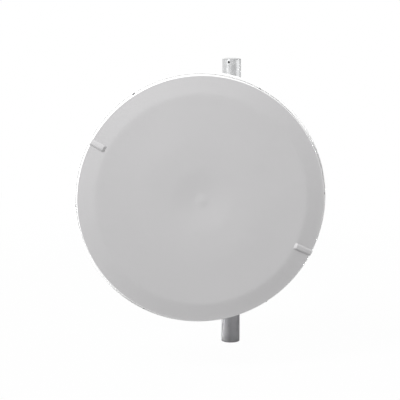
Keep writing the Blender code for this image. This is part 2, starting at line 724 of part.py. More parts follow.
build_mast()
build_jaw("upper_front_jaw", -1, JAW_FRONT, CLAMP_HEIGHT)
build_jaw("lower_front_jaw", -1, JAW_FRONT, -CLAMP_HEIGHT)
build_jaw("upper_rear_jaw", 1, JAW_REAR, CLAMP_HEIGHT)
build_jaw("lower_rear_jaw", 1, JAW_REAR, -CLAMP_HEIGHT)
build_clamp_bolts()
build_web()
pivot_sizes = (PIVOT_BOLT_RADIUS, PIVOT_SPACER_RADIUS, PIVOT_BOLT_FLATS, 0)
lock_sizes = (LOCK_BOLT_RADIUS, LOCK_SPACER_RADIUS, LOCK_BOLT_FLATS, LOCK_RADIUS)
for side_name, side_sign in (("left", -1), ("right", 1)):
    build_cheek("bracket_cheek_" + side_name, side_sign)
    build_side_bolt("pivot_bolt_" + side_name, side_sign, *pivot_sizes)
    build_side_bolt("lock_bolt_" + side_name, side_sign, *lock_sizes)
    build_ear("tilt_ear_" + side_name, side_sign)
build_mount_plate()
build_back_ring()
build_reflector()
build_collar()
build_radome()
for clip_name, clip_angle in CLIP_ANGLES.items():
    build_clip(clip_name, clip_angle)
build_feed()
bpy.context.view_layer.update()
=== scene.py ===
import math

import bmesh
import bpy
from mathutils import Matrix, Vector


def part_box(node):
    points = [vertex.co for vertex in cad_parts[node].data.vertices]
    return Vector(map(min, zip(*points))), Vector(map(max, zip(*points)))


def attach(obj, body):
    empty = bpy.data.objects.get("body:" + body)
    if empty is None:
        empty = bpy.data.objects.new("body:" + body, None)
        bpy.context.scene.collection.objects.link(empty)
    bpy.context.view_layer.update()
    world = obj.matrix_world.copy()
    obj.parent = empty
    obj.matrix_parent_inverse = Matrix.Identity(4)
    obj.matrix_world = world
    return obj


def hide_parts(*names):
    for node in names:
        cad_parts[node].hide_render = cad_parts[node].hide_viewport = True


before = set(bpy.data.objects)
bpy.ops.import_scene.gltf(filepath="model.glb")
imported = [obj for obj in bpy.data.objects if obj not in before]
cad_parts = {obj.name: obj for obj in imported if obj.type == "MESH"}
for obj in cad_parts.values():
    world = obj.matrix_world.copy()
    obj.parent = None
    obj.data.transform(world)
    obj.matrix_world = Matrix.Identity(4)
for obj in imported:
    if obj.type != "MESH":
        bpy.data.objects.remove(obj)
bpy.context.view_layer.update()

print("frame loaded:", len(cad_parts), "nodes")

# where the pieces go: a dish frame that looks along its own +Z, and a mast frame that stands on +Z
radomeLow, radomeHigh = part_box("radome")
mastLow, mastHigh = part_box("mast_tube")
mastLength = mastHigh.z - mastLow.z
skirtDepth = 0.0397  # from the plane of the face's edge back to the skirt's foot
dishCentre = Vector((
    (radomeLow.x + radomeHigh.x) / 2,
    radomeHigh.y - skirtDepth,
    (radomeLow.z + radomeHigh.z) / 2,
))
mastCentre = Vector(((mastLow.x + mastHigh.x) / 2, (mastLow.y + mastHigh.y) / 2, mastLow.z))
asDrawn = Matrix.Identity(4)
dishPlace = Matrix.Translation(dishCentre) @ Matrix.Rotation(math.pi / 2, 4, "X")
mastPlace = Matrix.Translation(mastCentre)
sidePlate = Matrix(((0, 0, 1, 0), (1, 0, 0, 0), (0, 1, 0, 0), (0, 0, 0, 1)))  # drawn in Y and Z, thick in X
frontPlate = Matrix.Rotation(math.pi / 2, 4, "X")  # drawn in X and Z, thick in Y


# shader and geometry nodes

class Wire:
    # one socket of a node tree, with the usual operators
    def __init__(self, kit, socket):
        self.kit = kit
        self.socket = socket

    def math(self, operation, first, second=0.0):
        return self.kit.node("ShaderNodeMath", {"operation": operation}, {0: first, 1: second})

    def __add__(self, other):
        return self.math("ADD", self, other)

    def __radd__(self, other):
        return self.math("ADD", other, self)

    def __sub__(self, other):
        return self.math("SUBTRACT", self, other)

    def __rsub__(self, other):
        return self.math("SUBTRACT", other, self)

    def __mul__(self, other):
        return self.math("MULTIPLY", self, other)

    def __rmul__(self, other):
        return self.math("MULTIPLY", other, self)

    def __truediv__(self, other):
        return self.math("DIVIDE", self, other)

    def __rtruediv__(self, other):
        return self.math("DIVIDE", other, self)

    def __pow__(self, other):
        return self.math("POWER", self, other)

    def sine(self):
        return self.math("SINE", self)

    def cosine(self):
        return self.math("COSINE", self)

    def between(self, low, high):
        # 0 at low, 1 at high, with soft ends
        sockets = {0: self, 1: low, 2: high, 3: 0.0, 4: 1.0}
        return self.kit.node("ShaderNodeMapRange", {"interpolation_type": "SMOOTHSTEP"}, sockets)


class NodeKit:
    def __init__(self, tree):
        self.tree = tree

    def node(self, kind, settings=None, sockets=None, output=0):
        # settings come first, because they change the sockets; a list is several links into one socket
        made = self.tree.nodes.new(kind)
        for name, value in (settings or {}).items():
            setattr(made, name, value)
        for key, value in (sockets or {}).items():
            for item in value if isinstance(value, list) else [value]:
                if isinstance(item, Wire):
                    self.tree.links.new(item.socket, made.inputs[key])
                else:
                    made.inputs[key].default_value = item
        if isinstance(output, tuple):
            return tuple(Wire(self, made.outputs[key]) for key in output)
        return Wire(self, made.outputs[output]) if made.outputs else None

    def vector(self, x, y, z):
        return self.node("ShaderNodeCombineXYZ", {}, {0: x, 1: y, 2: z})

    def around(self, radius, angle, height):
        # a place from its distance to the axis, its angle and its height
        return self.vector(radius * angle.cosine(), radius * angle.sine(), height)

    def apart(self, place):
        return self.node("ShaderNodeSeparateXYZ", {}, {0: place}, output=("X", "Y", "Z"))

    def colour(self, red, green, blue):
        return self.node("ShaderNodeCombineColor", {}, {0: red, 1: green, 2: blue})

    def colours(self, factor, low, high):
        return self.node("ShaderNodeMix", {"data_type": "RGBA"}, {0: factor, 6: low, 7: high}, output=2)

    def grain(self, place, scale, detail=3.0, roughness=0.5):
        sockets = {"Vector": place, "Scale": scale, "Detail": detail, "Roughness": roughness}
        return self.node("ShaderNodeTexNoise", {}, sockets)

    def cells(self, place, scale, output):
        sockets = {"Vector": place, "Scale": scale}
        return self.node("ShaderNodeTexVoronoi", {"feature": "F1"}, sockets, output)

    def stretched(self, place, scale, turn=(0.0, 0.0, 0.0), shift=(0.0, 0.0, 0.0)):
        sockets = {"Vector": place, "Location": shift, "Rotation": turn, "Scale": scale}
        return self.node("ShaderNodeMapping", {"vector_type": "POINT"}, sockets)

    def bump(self, height, depth, strength=1.0, under=None):
        sockets = {"Height": height, "Distance": depth, "Strength": strength}
        if under:
            sockets["Normal"] = under
        return self.node("ShaderNodeBump", {}, sockets)

    def random(self, low, high, seed):
        sockets = {2: low, 3: high, "Seed": seed}
        return self.node("FunctionNodeRandomValue", {"data_type": "FLOAT"}, sockets, output=1)

    def repeated(self, points, instance, turn, scale=(1.0, 1.0, 1.0)):
        sockets = {"Points": points, "Instance": instance, "Rotation": turn, "Scale": scale}
        return self.node("GeometryNodeInstanceOnPoints", {}, sockets)


def grey(level, warmth=0.0):
    return (level * (1 + warmth), level, level * (1 - warmth), 1.0)


# materials

def startMaterial(name):
    material = bpy.data.materials.new(name)
    material.use_nodes = True
    kit = NodeKit(material.node_tree)
    return material, kit, kit.node("ShaderNodeTexCoord", output="Object")


def finishMaterial(material, values):
    # sets constants on the shader's own sockets and links what varies
    shader = material.node_tree.nodes["Principled BSDF"]
    for name, value in values.items():
        if isinstance(value, Wire):
            material.node_tree.links.new(value.socket, shader.inputs[name])
        else:
            shader.inputs[name].default_value = value
    return material


def dishCoordinates(kit, place):
    # the place as seen from the dish's centre, its three parts, and its distance from the dish's axis
    local = kit.stretched(place, (1.0, 1.0, 1.0), shift=tuple(-dishCentre))
    x, y, z = kit.apart(local)
    return local, x, y, z, (x * x + z * z) ** 0.5


def mouldedColour(kit, shade):
    return kit.colour(shade * 1.004, shade * 0.994, shade * 1.005)


def zincCrystals(kit, place, scale, warpScale, warpDepth):
    # crystals with bent borders: three unlike numbers for each of them
    warp = kit.grain(place, warpScale, 2.0) * warpDepth
    bent = kit.node("ShaderNodeVectorMath", {"operation": "ADD"}, {0: place, 1: kit.vector(warp, warp, warp)})
    return kit.apart(kit.cells(bent, scale, "Color"))


radomeLook = {
    "face": 0.446, "band": 0.74, "paintRadius": 0.3042, "paintEdge": 0.0003, "roughness": 0.55,
    "bandRoughness": 0.42, "gloss": 0.35, "mottle": 0.012, "lowShade": 0.035, "leftShade": 0.040, "edgeLight": 0.006,
    "peelScale": 620.0, "peelDepth": 0.00003,
}


def makeRadomePlastic(look):
    # grey moulded face and a white band from its rounded edge back; the face has painted shade towards its
    # lower edge and its left side
    material, kit, place = startMaterial("radomePlastic")
    local, x, _, z, radius = dishCoordinates(kit, place)
    band = radius.between(look["paintRadius"] - look["paintEdge"], look["paintRadius"] + look["paintEdge"])
    cloud = kit.grain(local, 9.0, 4.0)
    fine = kit.grain(local, 240.0, 2.0)
    specks = kit.grain(local, 900.0, 1.0).between(0.70, 0.80)
    low = z.between(-0.05, -0.31) * cloud.between(0.35, 0.75)  # painted shade: darker towards the lower edge, in cloudy patches
    leftShadeMask = (x * -0.94 + z * -0.34).between(0.02, 0.26)  # painted shade: darker towards the left side
    edge = radius.between(0.285, 0.304)
    shade = look["face"] * (1 + (cloud - 0.5) * look["mottle"] * 4 + (fine - 0.5) * look["mottle"])
    # painted shade: darker towards the lower edge and towards the left side
    shade = shade * (1 - low * look["lowShade"]) * (1 - leftShadeMask * look["leftShade"]) * (1 - specks * 0.05)
    face = mouldedColour(kit, shade + edge * look["edgeLight"])
    bandShade = look["band"] * (1 - (cloud - 0.5) * 0.03)
    smoother = band * (look["bandRoughness"] - look["roughness"])
    return finishMaterial(material, {
        "Base Color": kit.colours(band, face, kit.colour(bandShade, bandShade, bandShade)),
        "Roughness": look["roughness"] + (cloud - 0.5) * 0.08 - edge * 0.05 + smoother,
        "Normal": kit.bump(kit.grain(local, look["peelScale"], 3.0) + fine * 0.6, look["peelDepth"]),
        "Specular IOR Level": look["gloss"],
    })


clipLook = {
    "level": 0.46, "band": 0.74, "paintRadius": 0.3058, "paintEdge": 0.0003, "roughness": 0.5, "gloss": 0.4,
    "grainScale": 900.0, "grainDepth": 0.00003,
}


def makeClipPlastic(look):
    # the face's grey on top, and the band's white down the hook
    material, kit, place = startMaterial("clipPlastic")
    radius = dishCoordinates(kit, place)[-1]
    band = radius.between(look["paintRadius"] - look["paintEdge"], look["paintRadius"] + look["paintEdge"])
    cloud = kit.grain(place, 60.0, 3.0)
    face = mouldedColour(kit, look["level"] * (1 + (cloud - 0.5) * 0.06))
    return finishMaterial(material, {
        "Base Color": kit.colours(band, face, grey(look["band"])),
        "Roughness": look["roughness"] + (cloud - 0.5) * 0.1,
        "Normal": kit.bump(kit.grain(place, look["grainScale"], 2.0), look["grainDepth"]),
        "Specular IOR Level": look["gloss"],
    })


paintLook = {
    "level": 0.74, "lip": 0.84, "chip": 0.32, "roughness": 0.38, "gloss": 0.45, "peelScale": 480.0,
    "peelDepth": 0.00006, "ringPitch": 0.0022, "ringDepth": 0.00002,
}


def makeDishPaint(look):
    # white powder coat over spun sheet: orange peel, faint spinning rings, damp streaks and chips at the rim;
    # the lip is painted lighter to lift its shade
    material, kit, place = startMaterial("dishPaint")
    local, _, y, z, radius = dishCoordinates(kit, place)
    wobble = kit.grain(local, 14.0, 2.0)
    rings = ((radius / look["ringPitch"] + wobble * 2.0) * math.tau).sine()
    cloud = kit.grain(local, 7.0, 4.0)
    chips = kit.grain(local, 150.0, 5.0, 0.7).between(0.70, 0.74) * radius.between(0.3118, 0.3140)
    streaks = kit.grain(kit.stretched(local, (1.0, 1.0, 0.12)), 90.0, 4.0).between(0.52, 0.80)
    damp = z.between(0.02, -0.30) * streaks * y.between(0.03, 0.06)
    lip = radius.between(0.3080, 0.3090) * (look["lip"] - look["level"])  # painted light: a brighter band on the rolled lip, which lies in the radome's shadow
    shade = (lip + look["level"]) * (1 - (cloud - 0.5) * 0.05) * (1 - damp * 0.10)
    paint = kit.colour(shade, shade * (1 - damp * 0.01), shade * (1 - damp * 0.03))
    spun = kit.bump(rings, look["ringDepth"], 0.6)
    return finishMaterial(material, {
        "Base Color": kit.colours(chips, paint, grey(look["chip"])),
        "Roughness": look["roughness"] + (cloud - 0.5) * 0.12 + damp * 0.2 + chips * 0.1,
        "Normal": kit.bump(kit.grain(local, look["peelScale"], 3.0), look["peelDepth"], 1.0, spun),
        "Specular IOR Level": look["gloss"],
    })


mastLook = {
    "low": 0.495, "high": 0.695, "footShade": (0.312, 0.305, 0.330, 1.0), "metal": 0.66, "roughness": 0.30,
    "spangle": 95.0, "drawn": 520.0, "bumpDepth": 0.00004,
}


def makeGalvanisedMast(look):
    # hot-dipped tube: small zinc crystals, drawn lines along its length, dull runs near the foot, and a
    # bluish painted shade on the stretch below the dish
    material, kit, place = startMaterial("galvanisedMast")
    tone = zincCrystals(kit, place, look["spangle"], 60.0, 0.006)[0]
    along = kit.stretched(place, (1.0, 1.0, 0.03))
    drawn = kit.grain(kit.stretched(place, (1.0, 1.0, 0.012)), look["drawn"], 3.0)
    streaks = kit.grain(along, 150.0, 2.0)
    scratch = kit.grain(along, 1400.0, 2.0).between(0.66, 0.72) * 0.5
    frost = kit.grain(place, 700.0, 3.0)
    z = kit.apart(place)[2]
    footShade = z.between(0.42, 0.14) - z.between(0.10, 0.0) * 0.35  # painted shade on the stretch below the dish, eased off over the last 10 cm
    runs = kit.grain(kit.stretched(place, (1.0, 1.0, 0.10)), 85.0, 4.0).between(0.55, 0.78)
    dull = (z.between(0.10, 0.0) * 0.6 + 0.25) * runs
    level = tone * 0.35 + drawn * 0.25 + frost * 0.15 + streaks.between(0.35, 0.65) * 0.25
    zinc = kit.colours(level, grey(look["low"], -0.012), grey(look["high"], -0.006))
    # the zinc and its dull runs, under the painted shade below the dish
    worn = kit.colours(footShade * 0.7, kit.colours(dull * 0.5, zinc, grey(0.46, 0.01)), look["footShade"])
    return finishMaterial(material, {
        "Base Color": kit.colours(scratch, worn, grey(0.80)),
        "Metallic": look["metal"] - dull * 0.25,
        "Roughness": look["roughness"] + (tone - 0.5) * 0.10 + frost * 0.06 + dull * 0.18 - scratch * 0.1,
        "Normal": kit.bump(drawn * 0.5 + frost * 0.3 + tone * 0.2, look["bumpDepth"]),
    })


bracketLook = {
    "low": 0.44, "high": 0.66, "metal": 0.75, "roughness": 0.46, "spangle": 75.0, "bumpDepth": 0.00005,
}


def makeBracketSteel(look):
    # galvanised plate: larger crystals, frosty grain, grey handling marks
    material, kit, place = startMaterial("bracketSteel")
    tone, shine, _ = zincCrystals(kit, place, look["spangle"], 45.0, 0.010)
    frost = kit.grain(place, 420.0, 4.0)
    cloud = kit.grain(place, 16.0, 4.0)
    marks = kit.grain(kit.stretched(place, (1.0, 1.0, 6.0), (0.5, 0.3, 0.2)), 60.0, 3.0).between(0.66, 0.74)
    level = tone * 0.55 + frost * 0.25 + cloud * 0.20
    zinc = kit.colours(level, grey(look["low"], -0.015), grey(look["high"], -0.008))
    return finishMaterial(material, {
        "Base Color": kit.colours(marks * 0.35, zinc, grey(0.34)),
        "Metallic": look["metal"] - cloud.between(0.55, 0.75) * 0.15,
        "Roughness": look["roughness"] + (shine - 0.5) * 0.16 + marks * 0.12 + frost * 0.05,
        "Normal": kit.bump(tone * 0.4 + frost * 0.6, look["bumpDepth"]),
    })


jawLook = {
    "low": 0.50, "high": 0.66, "metal": 0.9, "roughness": 0.46, "sandScale": 850.0, "sandDepth": 0.00012,
}


def makeJawAluminium(look):
    # sand-cast aluminium: coarse skin, darker in the hollows, polished spots on the high ones
    material, kit, place = startMaterial("jawAluminium")
    sand = kit.grain(place, look["sandScale"], 4.0, 0.6)
    cloud = kit.grain(place, 40.0, 4.0)
    pitted = 1 - kit.cells(place, 420.0, "Distance").between(0.05, 0.22)
    rubbed = kit.grain(place, 110.0, 5.0, 0.65).between(0.60, 0.70)
    skin = kit.colours(sand * 0.6 + cloud * 0.4, grey(look["low"]), grey(look["high"], 0.004))
    return finishMaterial(material, {
        "Base Color": kit.colours(pitted * 0.4, kit.colours(rubbed * 0.4, skin, grey(0.76)), grey(0.30)),
        "Metallic": look["metal"],
        "Roughness": look["roughness"] + (cloud - 0.5) * 0.1 - rubbed * 0.12,
        "Normal": kit.bump(sand - pitted * 0.5, look["sandDepth"]),
    })


boltLook = {"level": 0.62, "metal": 1.0, "roughness": 0.26, "lineScale": 2600.0, "lineDepth": 0.000015}


def makeBoltSteel(look):
    # stainless steel, drawn and rolled: fine lines and a few dull spots
    material, kit, place = startMaterial("boltSteel")
    lines = kit.grain(kit.stretched(place, (1.0, 0.25, 1.0)), look["lineScale"], 2.0)
    dull = kit.grain(place, 130.0, 4.0).between(0.55, 0.72)
    steel = kit.colours(lines, grey(look["level"] * 0.9), grey(look["level"] * 1.1, 0.006))
    return finishMaterial(material, {
        "Base Color": kit.colours(dull * 0.3, steel, grey(0.40, 0.02)),
        "Metallic": look["metal"],
        "Roughness": look["roughness"] + dull * 0.16 + lines * 0.06,
        "Normal": kit.bump(lines, look["lineDepth"]),
    })


darkScrewLook = {"level": 0.16, "metal": 0.55, "roughness": 0.5, "bumpDepth": 0.00003}


def makeDarkScrew(look):
    # blackened steel screw, rubbed a little on its crown
    material, kit, place = startMaterial("darkScrew")
    rub = kit.grain(place, 900.0, 4.0, 0.7)
    worn = rub.between(0.58, 0.72)
    return finishMaterial(material, {
        "Base Color": kit.colours(worn * 0.6, grey(look["level"], -0.02), grey(look["level"] * 3.0)),
        "Metallic": look["metal"],
        "Roughness": look["roughness"] - worn * 0.15,
        "Normal": kit.bump(rub, look["bumpDepth"]),
    })


capLook = {"level": 0.40, "roughness": 0.30, "gloss": 0.8, "bumpDepth": 0.00002}


def makeCapPlastic(look):
    # grey plastic that has chalked in patches
    material, kit, place = startMaterial("capPlastic")
    chalk = kit.grain(place, 70.0, 4.0).between(0.50, 0.72)
    return finishMaterial(material, {
        "Base Color": kit.colours(chalk * 0.5, grey(look["level"], -0.01), grey(look["level"] * 1.35)),
        "Roughness": look["roughness"] + chalk * 0.14,
        "Normal": kit.bump(kit.grain(place, 1300.0, 2.0), look["bumpDepth"]),
        "Specular IOR Level": look["gloss"],
    })


turnedLook = {"level": 0.66, "metal": 1.0, "roughness": 0.24, "pitch": 0.00035, "depth": 0.000012}


def makeTurnedAluminium(look):
    # lathe-turned aluminium: fine rings round the dish's axis
    material, kit, place = startMaterial("turnedAluminium")
    local, _, y, _, radius = dishCoordinates(kit, place)
    along = (radius + y * 0.7) / look["pitch"]
    sockets = {"W": along * 0.6, "Scale": 1.0, "Detail": 2.0}
    ringed = kit.node("ShaderNodeTexNoise", {"noise_dimensions": "1D"}, sockets)
    cloud = kit.grain(local, 90.0, 4.0)
    level = ringed * 0.6 + cloud * 0.4
    return finishMaterial(material, {
        "Base Color": kit.colours(level, grey(look["level"] * 0.88), grey(look["level"] * 1.1)),
        "Metallic": look["metal"],
        "Roughness": look["roughness"] + (ringed - 0.5) * 0.10 + cloud.between(0.55, 0.75) * 0.12,
        "Normal": kit.bump(ringed, look["depth"]),
    })


weldLook = {"low": 0.30, "high": 0.52, "metal": 0.7, "roughness": 0.42, "bumpDepth": 0.0001}


def makeWeldMetal(look):
    # weld bead under cold zinc paint
    material, kit, place = startMaterial("weldMetal")
    cloud = kit.grain(place, 300.0, 4.0)
    return finishMaterial(material, {
        "Base Color": kit.colours(cloud, grey(look["low"], -0.02), grey(look["high"])),
        "Metallic": look["metal"],
        "Roughness": look["roughness"] + (cloud - 0.5) * 0.2,
        "Normal": kit.bump(cloud, look["bumpDepth"]),
    })


radomePlastic = makeRadomePlastic(radomeLook)
clipPlastic = makeClipPlastic(clipLook)
dishPaint = makeDishPaint(paintLook)
galvanisedMast = makeGalvanisedMast(mastLook)
bracketSteel = makeBracketSteel(bracketLook)
jawAluminium = makeJawAluminium(jawLook)
boltSteel = makeBoltSteel(boltLook)
darkScrew = makeDarkScrew(darkScrewLook)
capPlastic = makeCapPlastic(capLook)
turnedAluminium = makeTurnedAluminium(turnedLook)
weldMetal = makeWeldMetal(weldLook)
print("materials made:", len(bpy.data.materials))


# shapes that the pieces share

def softened(points, steps=4):
    # rounds the corners of a closed outline; a point's third number is its radius
    made = []
    count = len(points)
    for index, point in enumerate(points):
        here = Vector(point[:2])
        radius = point[2] if len(point) > 2 else 0.0
        if radius <= 0:
            made.append(tuple(here))
            continue
        before = Vector(points[index - 1][:2]) - here
        after = Vector(points[(index + 1) % count][:2]) - here
        half = before.angle(after) / 2
        reach = min(radius / math.tan(half), 0.48 * before.length, 0.48 * after.length)
        radius = reach * math.tan(half)
        centre = here + (before.normalized() + after.normalized()).normalized() * (radius / math.sin(half))
        start = here + before.normalized() * reach - centre
        end = here + after.normalized() * reach - centre
        first = math.atan2(start.y, start.x)
        sweep = (math.atan2(end.y, end.x) - first + math.pi) % math.tau - math.pi
        for step in range(steps + 1):
            angle = first + sweep * step / steps
            made.append((centre.x + radius * math.cos(angle), centre.y + radius * math.sin(angle)))
    return made


def arcPoints(centre, radius, start, end, stepAngle=6):
    steps = max(2, round(abs(math.degrees(end - start)) / stepAngle))
    angles = [start + (end - start) * step / steps for step in range(steps + 1)]
    return [(centre[0] + radius * math.cos(a), centre[1] + radius * math.sin(a)) for a in angles]


def circlePoints(centre, radius, sides=32):
    return arcPoints(centre, radius, 0, math.tau * (sides - 1) / sides, 360 / sides)


def turnedShape(profile, sides):
    # spins a closed outline of (radius, height); points on the axis close the piece there
    bm = bmesh.new()
    angles = [math.tau * step / sides for step in range(sides)]
    rings = []
    for radius, height in profile:
        if radius < 1e-6:
            rings.append([bm.verts.new((0, 0, height))])
        else:
            rings.append([bm.verts.new((radius * math.cos(a), radius * math.sin(a), height)) for a in angles])
    pairs = list(zip(rings, rings[1:]))
    if len(rings[0]) > 1 or len(rings[-1]) > 1:
        pairs.append((rings[-1], rings[0]))
    for lower, upper in pairs:
        for step in range(sides):
            after = (step + 1) % sides
            corners = [lower[k % len(lower)] for k in (step, after)]
            corners += [upper[k % len(upper)] for k in (after, step)]
            unique = list(dict.fromkeys(corners))
            if len(unique) > 2:
                bm.faces.new(unique)
    return bm


def plateShape(outline, holes, thickness, bevel):
    # a flat plate with broken edges, drawn in X and Y and thick in Z
    curve = bpy.data.curves.new("plateDrawing", "CURVE")
    curve.dimensions = "2D"
    curve.fill_mode = "BOTH"
    curve.extrude = thickness / 2 - bevel
    curve.bevel_depth = bevel
    curve.bevel_resolution = 2
    curve.offset = -bevel
    for loop in [outline, *holes]:
        spline = curve.splines.new("POLY")
        spline.points.add(len(loop) - 1)
        for point, place in zip(spline.points, loop):
            point.co = (place[0], place[1], 0, 1)
        spline.use_cyclic_u = True
    holder = bpy.data.objects.new("plateDrawing", curve)
    bpy.context.scene.collection.objects.link(holder)
    mesh = bpy.data.meshes.new_from_object(holder.evaluated_get(bpy.context.evaluated_depsgraph_get()))
    bpy.data.objects.remove(holder)
    bm = bmesh.new()
    bm.from_mesh(mesh)
    bpy.data.meshes.remove(mesh)
    bmesh.ops.remove_doubles(bm, verts=bm.verts, dist=1e-6)
    return bm


def hexShape(flats, height, chamferBoth, sides=36):
    # a hexagon head or nut from Z = 0 up, its corners cut by a cone
    bm = bmesh.new()
    half = flats / 2
    crown = half * 0.97
    slope = math.tan(math.radians(30))
    angles = [math.tau * step / sides for step in range(sides)]
    reach = [half / math.cos((a + math.pi / 6) % (math.pi / 3) - math.pi / 6) for a in angles]

    def ring(radii, heights):
        rows = zip(angles, radii, heights)
        return [bm.verts.new((r * math.cos(a), r * math.sin(a), h)) for a, r, h in rows]

    rings = []
    if chamferBoth:
        rings.append(ring([crown] * sides, [0.0] * sides))
        rings.append(ring(reach, [(r - crown) * slope for r in reach]))
    else:
        rings.append(ring(reach, [0.0] * sides))
    rings.append(ring(reach, [height - (r - crown) * slope for r in reach]))
    rings.append(ring([crown] * sides, [height] * sides))
    for lower, upper in zip(rings, rings[1:]):
        for step in range(sides):
            after = (step + 1) % sides
            bm.faces.new((lower[step], lower[after], upper[after], upper[step]))
    bm.faces.new(rings[0])
    bm.faces.new(rings[-1])
    return bm


def washerShape(inner, outer, thickness):
    edge = thickness * 0.25
    profile = softened([(inner, 0), (outer, 0, edge), (outer, thickness, edge), (inner, thickness)], 3)
    return turnedShape(profile, 48)


def shankShape(radius, start, end):
    tip = radius * 0.18
    return turnedShape([(0, start), (radius, start), (radius, end - tip), (radius - tip, end), (0, end)], 32)


def joined(shapes):
    # one bmesh out of (shape, place) pairs
    whole = bmesh.new()
    for shape, place in shapes:
        bmesh.ops.transform(shape, matrix=place, verts=shape.verts)
        mesh = bpy.data.meshes.new("joining")
        shape.to_mesh(mesh)
        shape.free()
        whole.from_mesh(mesh)
        bpy.data.meshes.remove(mesh)
    return whole


def lifted(height, turn=0.0):
    return Matrix.Translation((0, 0, height)) @ Matrix.Rotation(turn, 4, "Z")


def turnTo(direction):
    return Vector((0, 0, 1)).rotation_difference(Vector(direction)).to_matrix().to_4x4()


def settle(piece, body, replaced=()):
    if replaced:
        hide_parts(*replaced)
    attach(piece, body)


def makePiece(name, shape, material, place, body=None, replaced=(), sharp=32, plate=False):
    # turns a shape into a finished piece whose place is in its mesh; a plate's two large faces stay flat
    bmesh.ops.remove_doubles(shape, verts=shape.verts, dist=1e-7)
    bmesh.ops.recalc_face_normals(shape, faces=shape.faces)
    for face in shape.faces:
        face.smooth = not (plate and abs(face.normal.z) > 0.9999)
    bmesh.ops.transform(shape, matrix=place, verts=shape.verts)
    if place.determinant() < 0:  # a mirrored piece has its faces turned out again
        bmesh.ops.recalc_face_normals(shape, faces=shape.faces)
    mesh = bpy.data.meshes.new(name)
    shape.to_mesh(mesh)
    shape.free()
    mesh.set_sharp_from_angle(angle=math.radians(sharp))
    mesh.materials.append(material)
    piece = bpy.data.objects.new(name, mesh)
    bpy.context.scene.collection.objects.link(piece)
    if body:
        settle(piece, body, replaced)
    return piece


def turnedPiece(name, profile, sides, material, replaced=(), place=dishPlace, body="dish"):
    return makePiece(name, turnedShape(profile, sides), material, place, body, replaced)


def steelPlate(name, node, body, outline, holes, thickness, bevel, place):
    shape = plateShape(outline, holes, thickness, bevel)
    makePiece(name, shape, bracketSteel, place, body, [node], plate=True)


# geometry node trees

def startTree(name, inputs):
    tree = bpy.data.node_groups.new(name, "GeometryNodeTree")
    tree.interface.new_socket("Geometry", in_out="INPUT", socket_type="NodeSocketGeometry")
    for label, (kind, value) in inputs.items():
        socket = tree.interface.new_socket(label, in_out="INPUT", socket_type="NodeSocket" + kind)
        if value is not None:
            socket.default_value = value
    tree.interface.new_socket("Geometry", in_out="OUTPUT", socket_type="NodeSocketGeometry")
    kit = NodeKit(tree)
    names = ("Geometry", *inputs)
    return tree, kit, dict(zip(names, kit.node("NodeGroupInput", output=names)))


def endTree(tree, kit, geometry, material):
    real = kit.node("GeometryNodeRealizeInstances", {}, {0: geometry})
    dressed = kit.node("GeometryNodeSetMaterial", {}, {"Geometry": real, "Material": material})
    kit.node("NodeGroupOutput", {}, {0: dressed})
    return tree


def growPiece(name, tree, values, place, body, replaced=(), source=None, sharp=32):
    # runs a tree once and keeps its result as a plain mesh
    carrier = bpy.data.objects.new(name + "Carrier", source or bpy.data.meshes.new(name + "Carrier"))
    bpy.context.scene.collection.objects.link(carrier)
    modifier = carrier.modifiers.new("grow", "NODES")
    modifier.node_group = tree
    for item in tree.interface.items_tree:
        if item.item_type == "SOCKET" and item.in_out == "INPUT" and item.name in values:
            modifier[item.identifier] = values[item.name]
    depsgraph = bpy.context.evaluated_depsgraph_get()
    mesh = bpy.data.meshes.new_from_object(carrier.evaluated_get(depsgraph), depsgraph=depsgraph)
    carrier.modifiers.remove(modifier)
    bpy.data.objects.remove(carrier)
    mesh.transform(place)
    mesh.name = name
    mesh.shade_smooth()
    mesh.set_sharp_from_angle(angle=math.radians(sharp))
    piece = bpy.data.objects.new(name, mesh)
    bpy.context.scene.collection.objects.link(piece)
    settle(piece, body, replaced)


def makeParaboloidTree():
    # a sheet of even thickness whose height is radius squared over four focal lengths
    tree, kit, given = startTree("paraboloidSheet", {
        "Inner Radius": ("Float", 0.02), "Outer Radius": ("Float", 0.3), "Focal Length": ("Float", 0.16),
        "Rim Height": ("Float", 0.0), "Wall": ("Float", 0.002), "Rings": ("Int", 40), "Sides": ("Int", 180),
        "Material": ("Material", None),
    })
    grid = kit.node("GeometryNodeMeshGrid", {}, {
        "Size X": 1.0, "Size Y": 1.0, "Vertices X": given["Rings"], "Vertices Y": given["Sides"] + 1.0,
    })
    u, v, _ = kit.apart(kit.node("GeometryNodeInputPosition"))
    radius = given["Inner Radius"] + (given["Outer Radius"] - given["Inner Radius"]) * (u + 0.5)
    angle = (v + 0.5) * math.tau
    rise = radius * radius - given["Outer Radius"] ** 2.0
    height = given["Rim Height"] + rise / (given["Focal Length"] * 4.0)
    slope = radius / (given["Focal Length"] * 2.0)
    drop = given["Wall"] * (slope * slope + 1.0) ** 0.5
    sheets = []
    for level in (height, height - drop):
        spot = kit.around(radius, angle, level)
        sheets.append(kit.node("GeometryNodeSetPosition", {}, {"Geometry": grid, "Position": spot}))
    turnedBack = kit.node("GeometryNodeFlipFaces", {}, {0: sheets[1]})
    both = kit.node("GeometryNodeJoinGeometry", {}, {0: [sheets[0], turnedBack]})
    welded = kit.node("GeometryNodeMergeByDistance", {}, {"Geometry": both, "Distance": 0.00002})
    return endTree(tree, kit, welded, given["Material"])


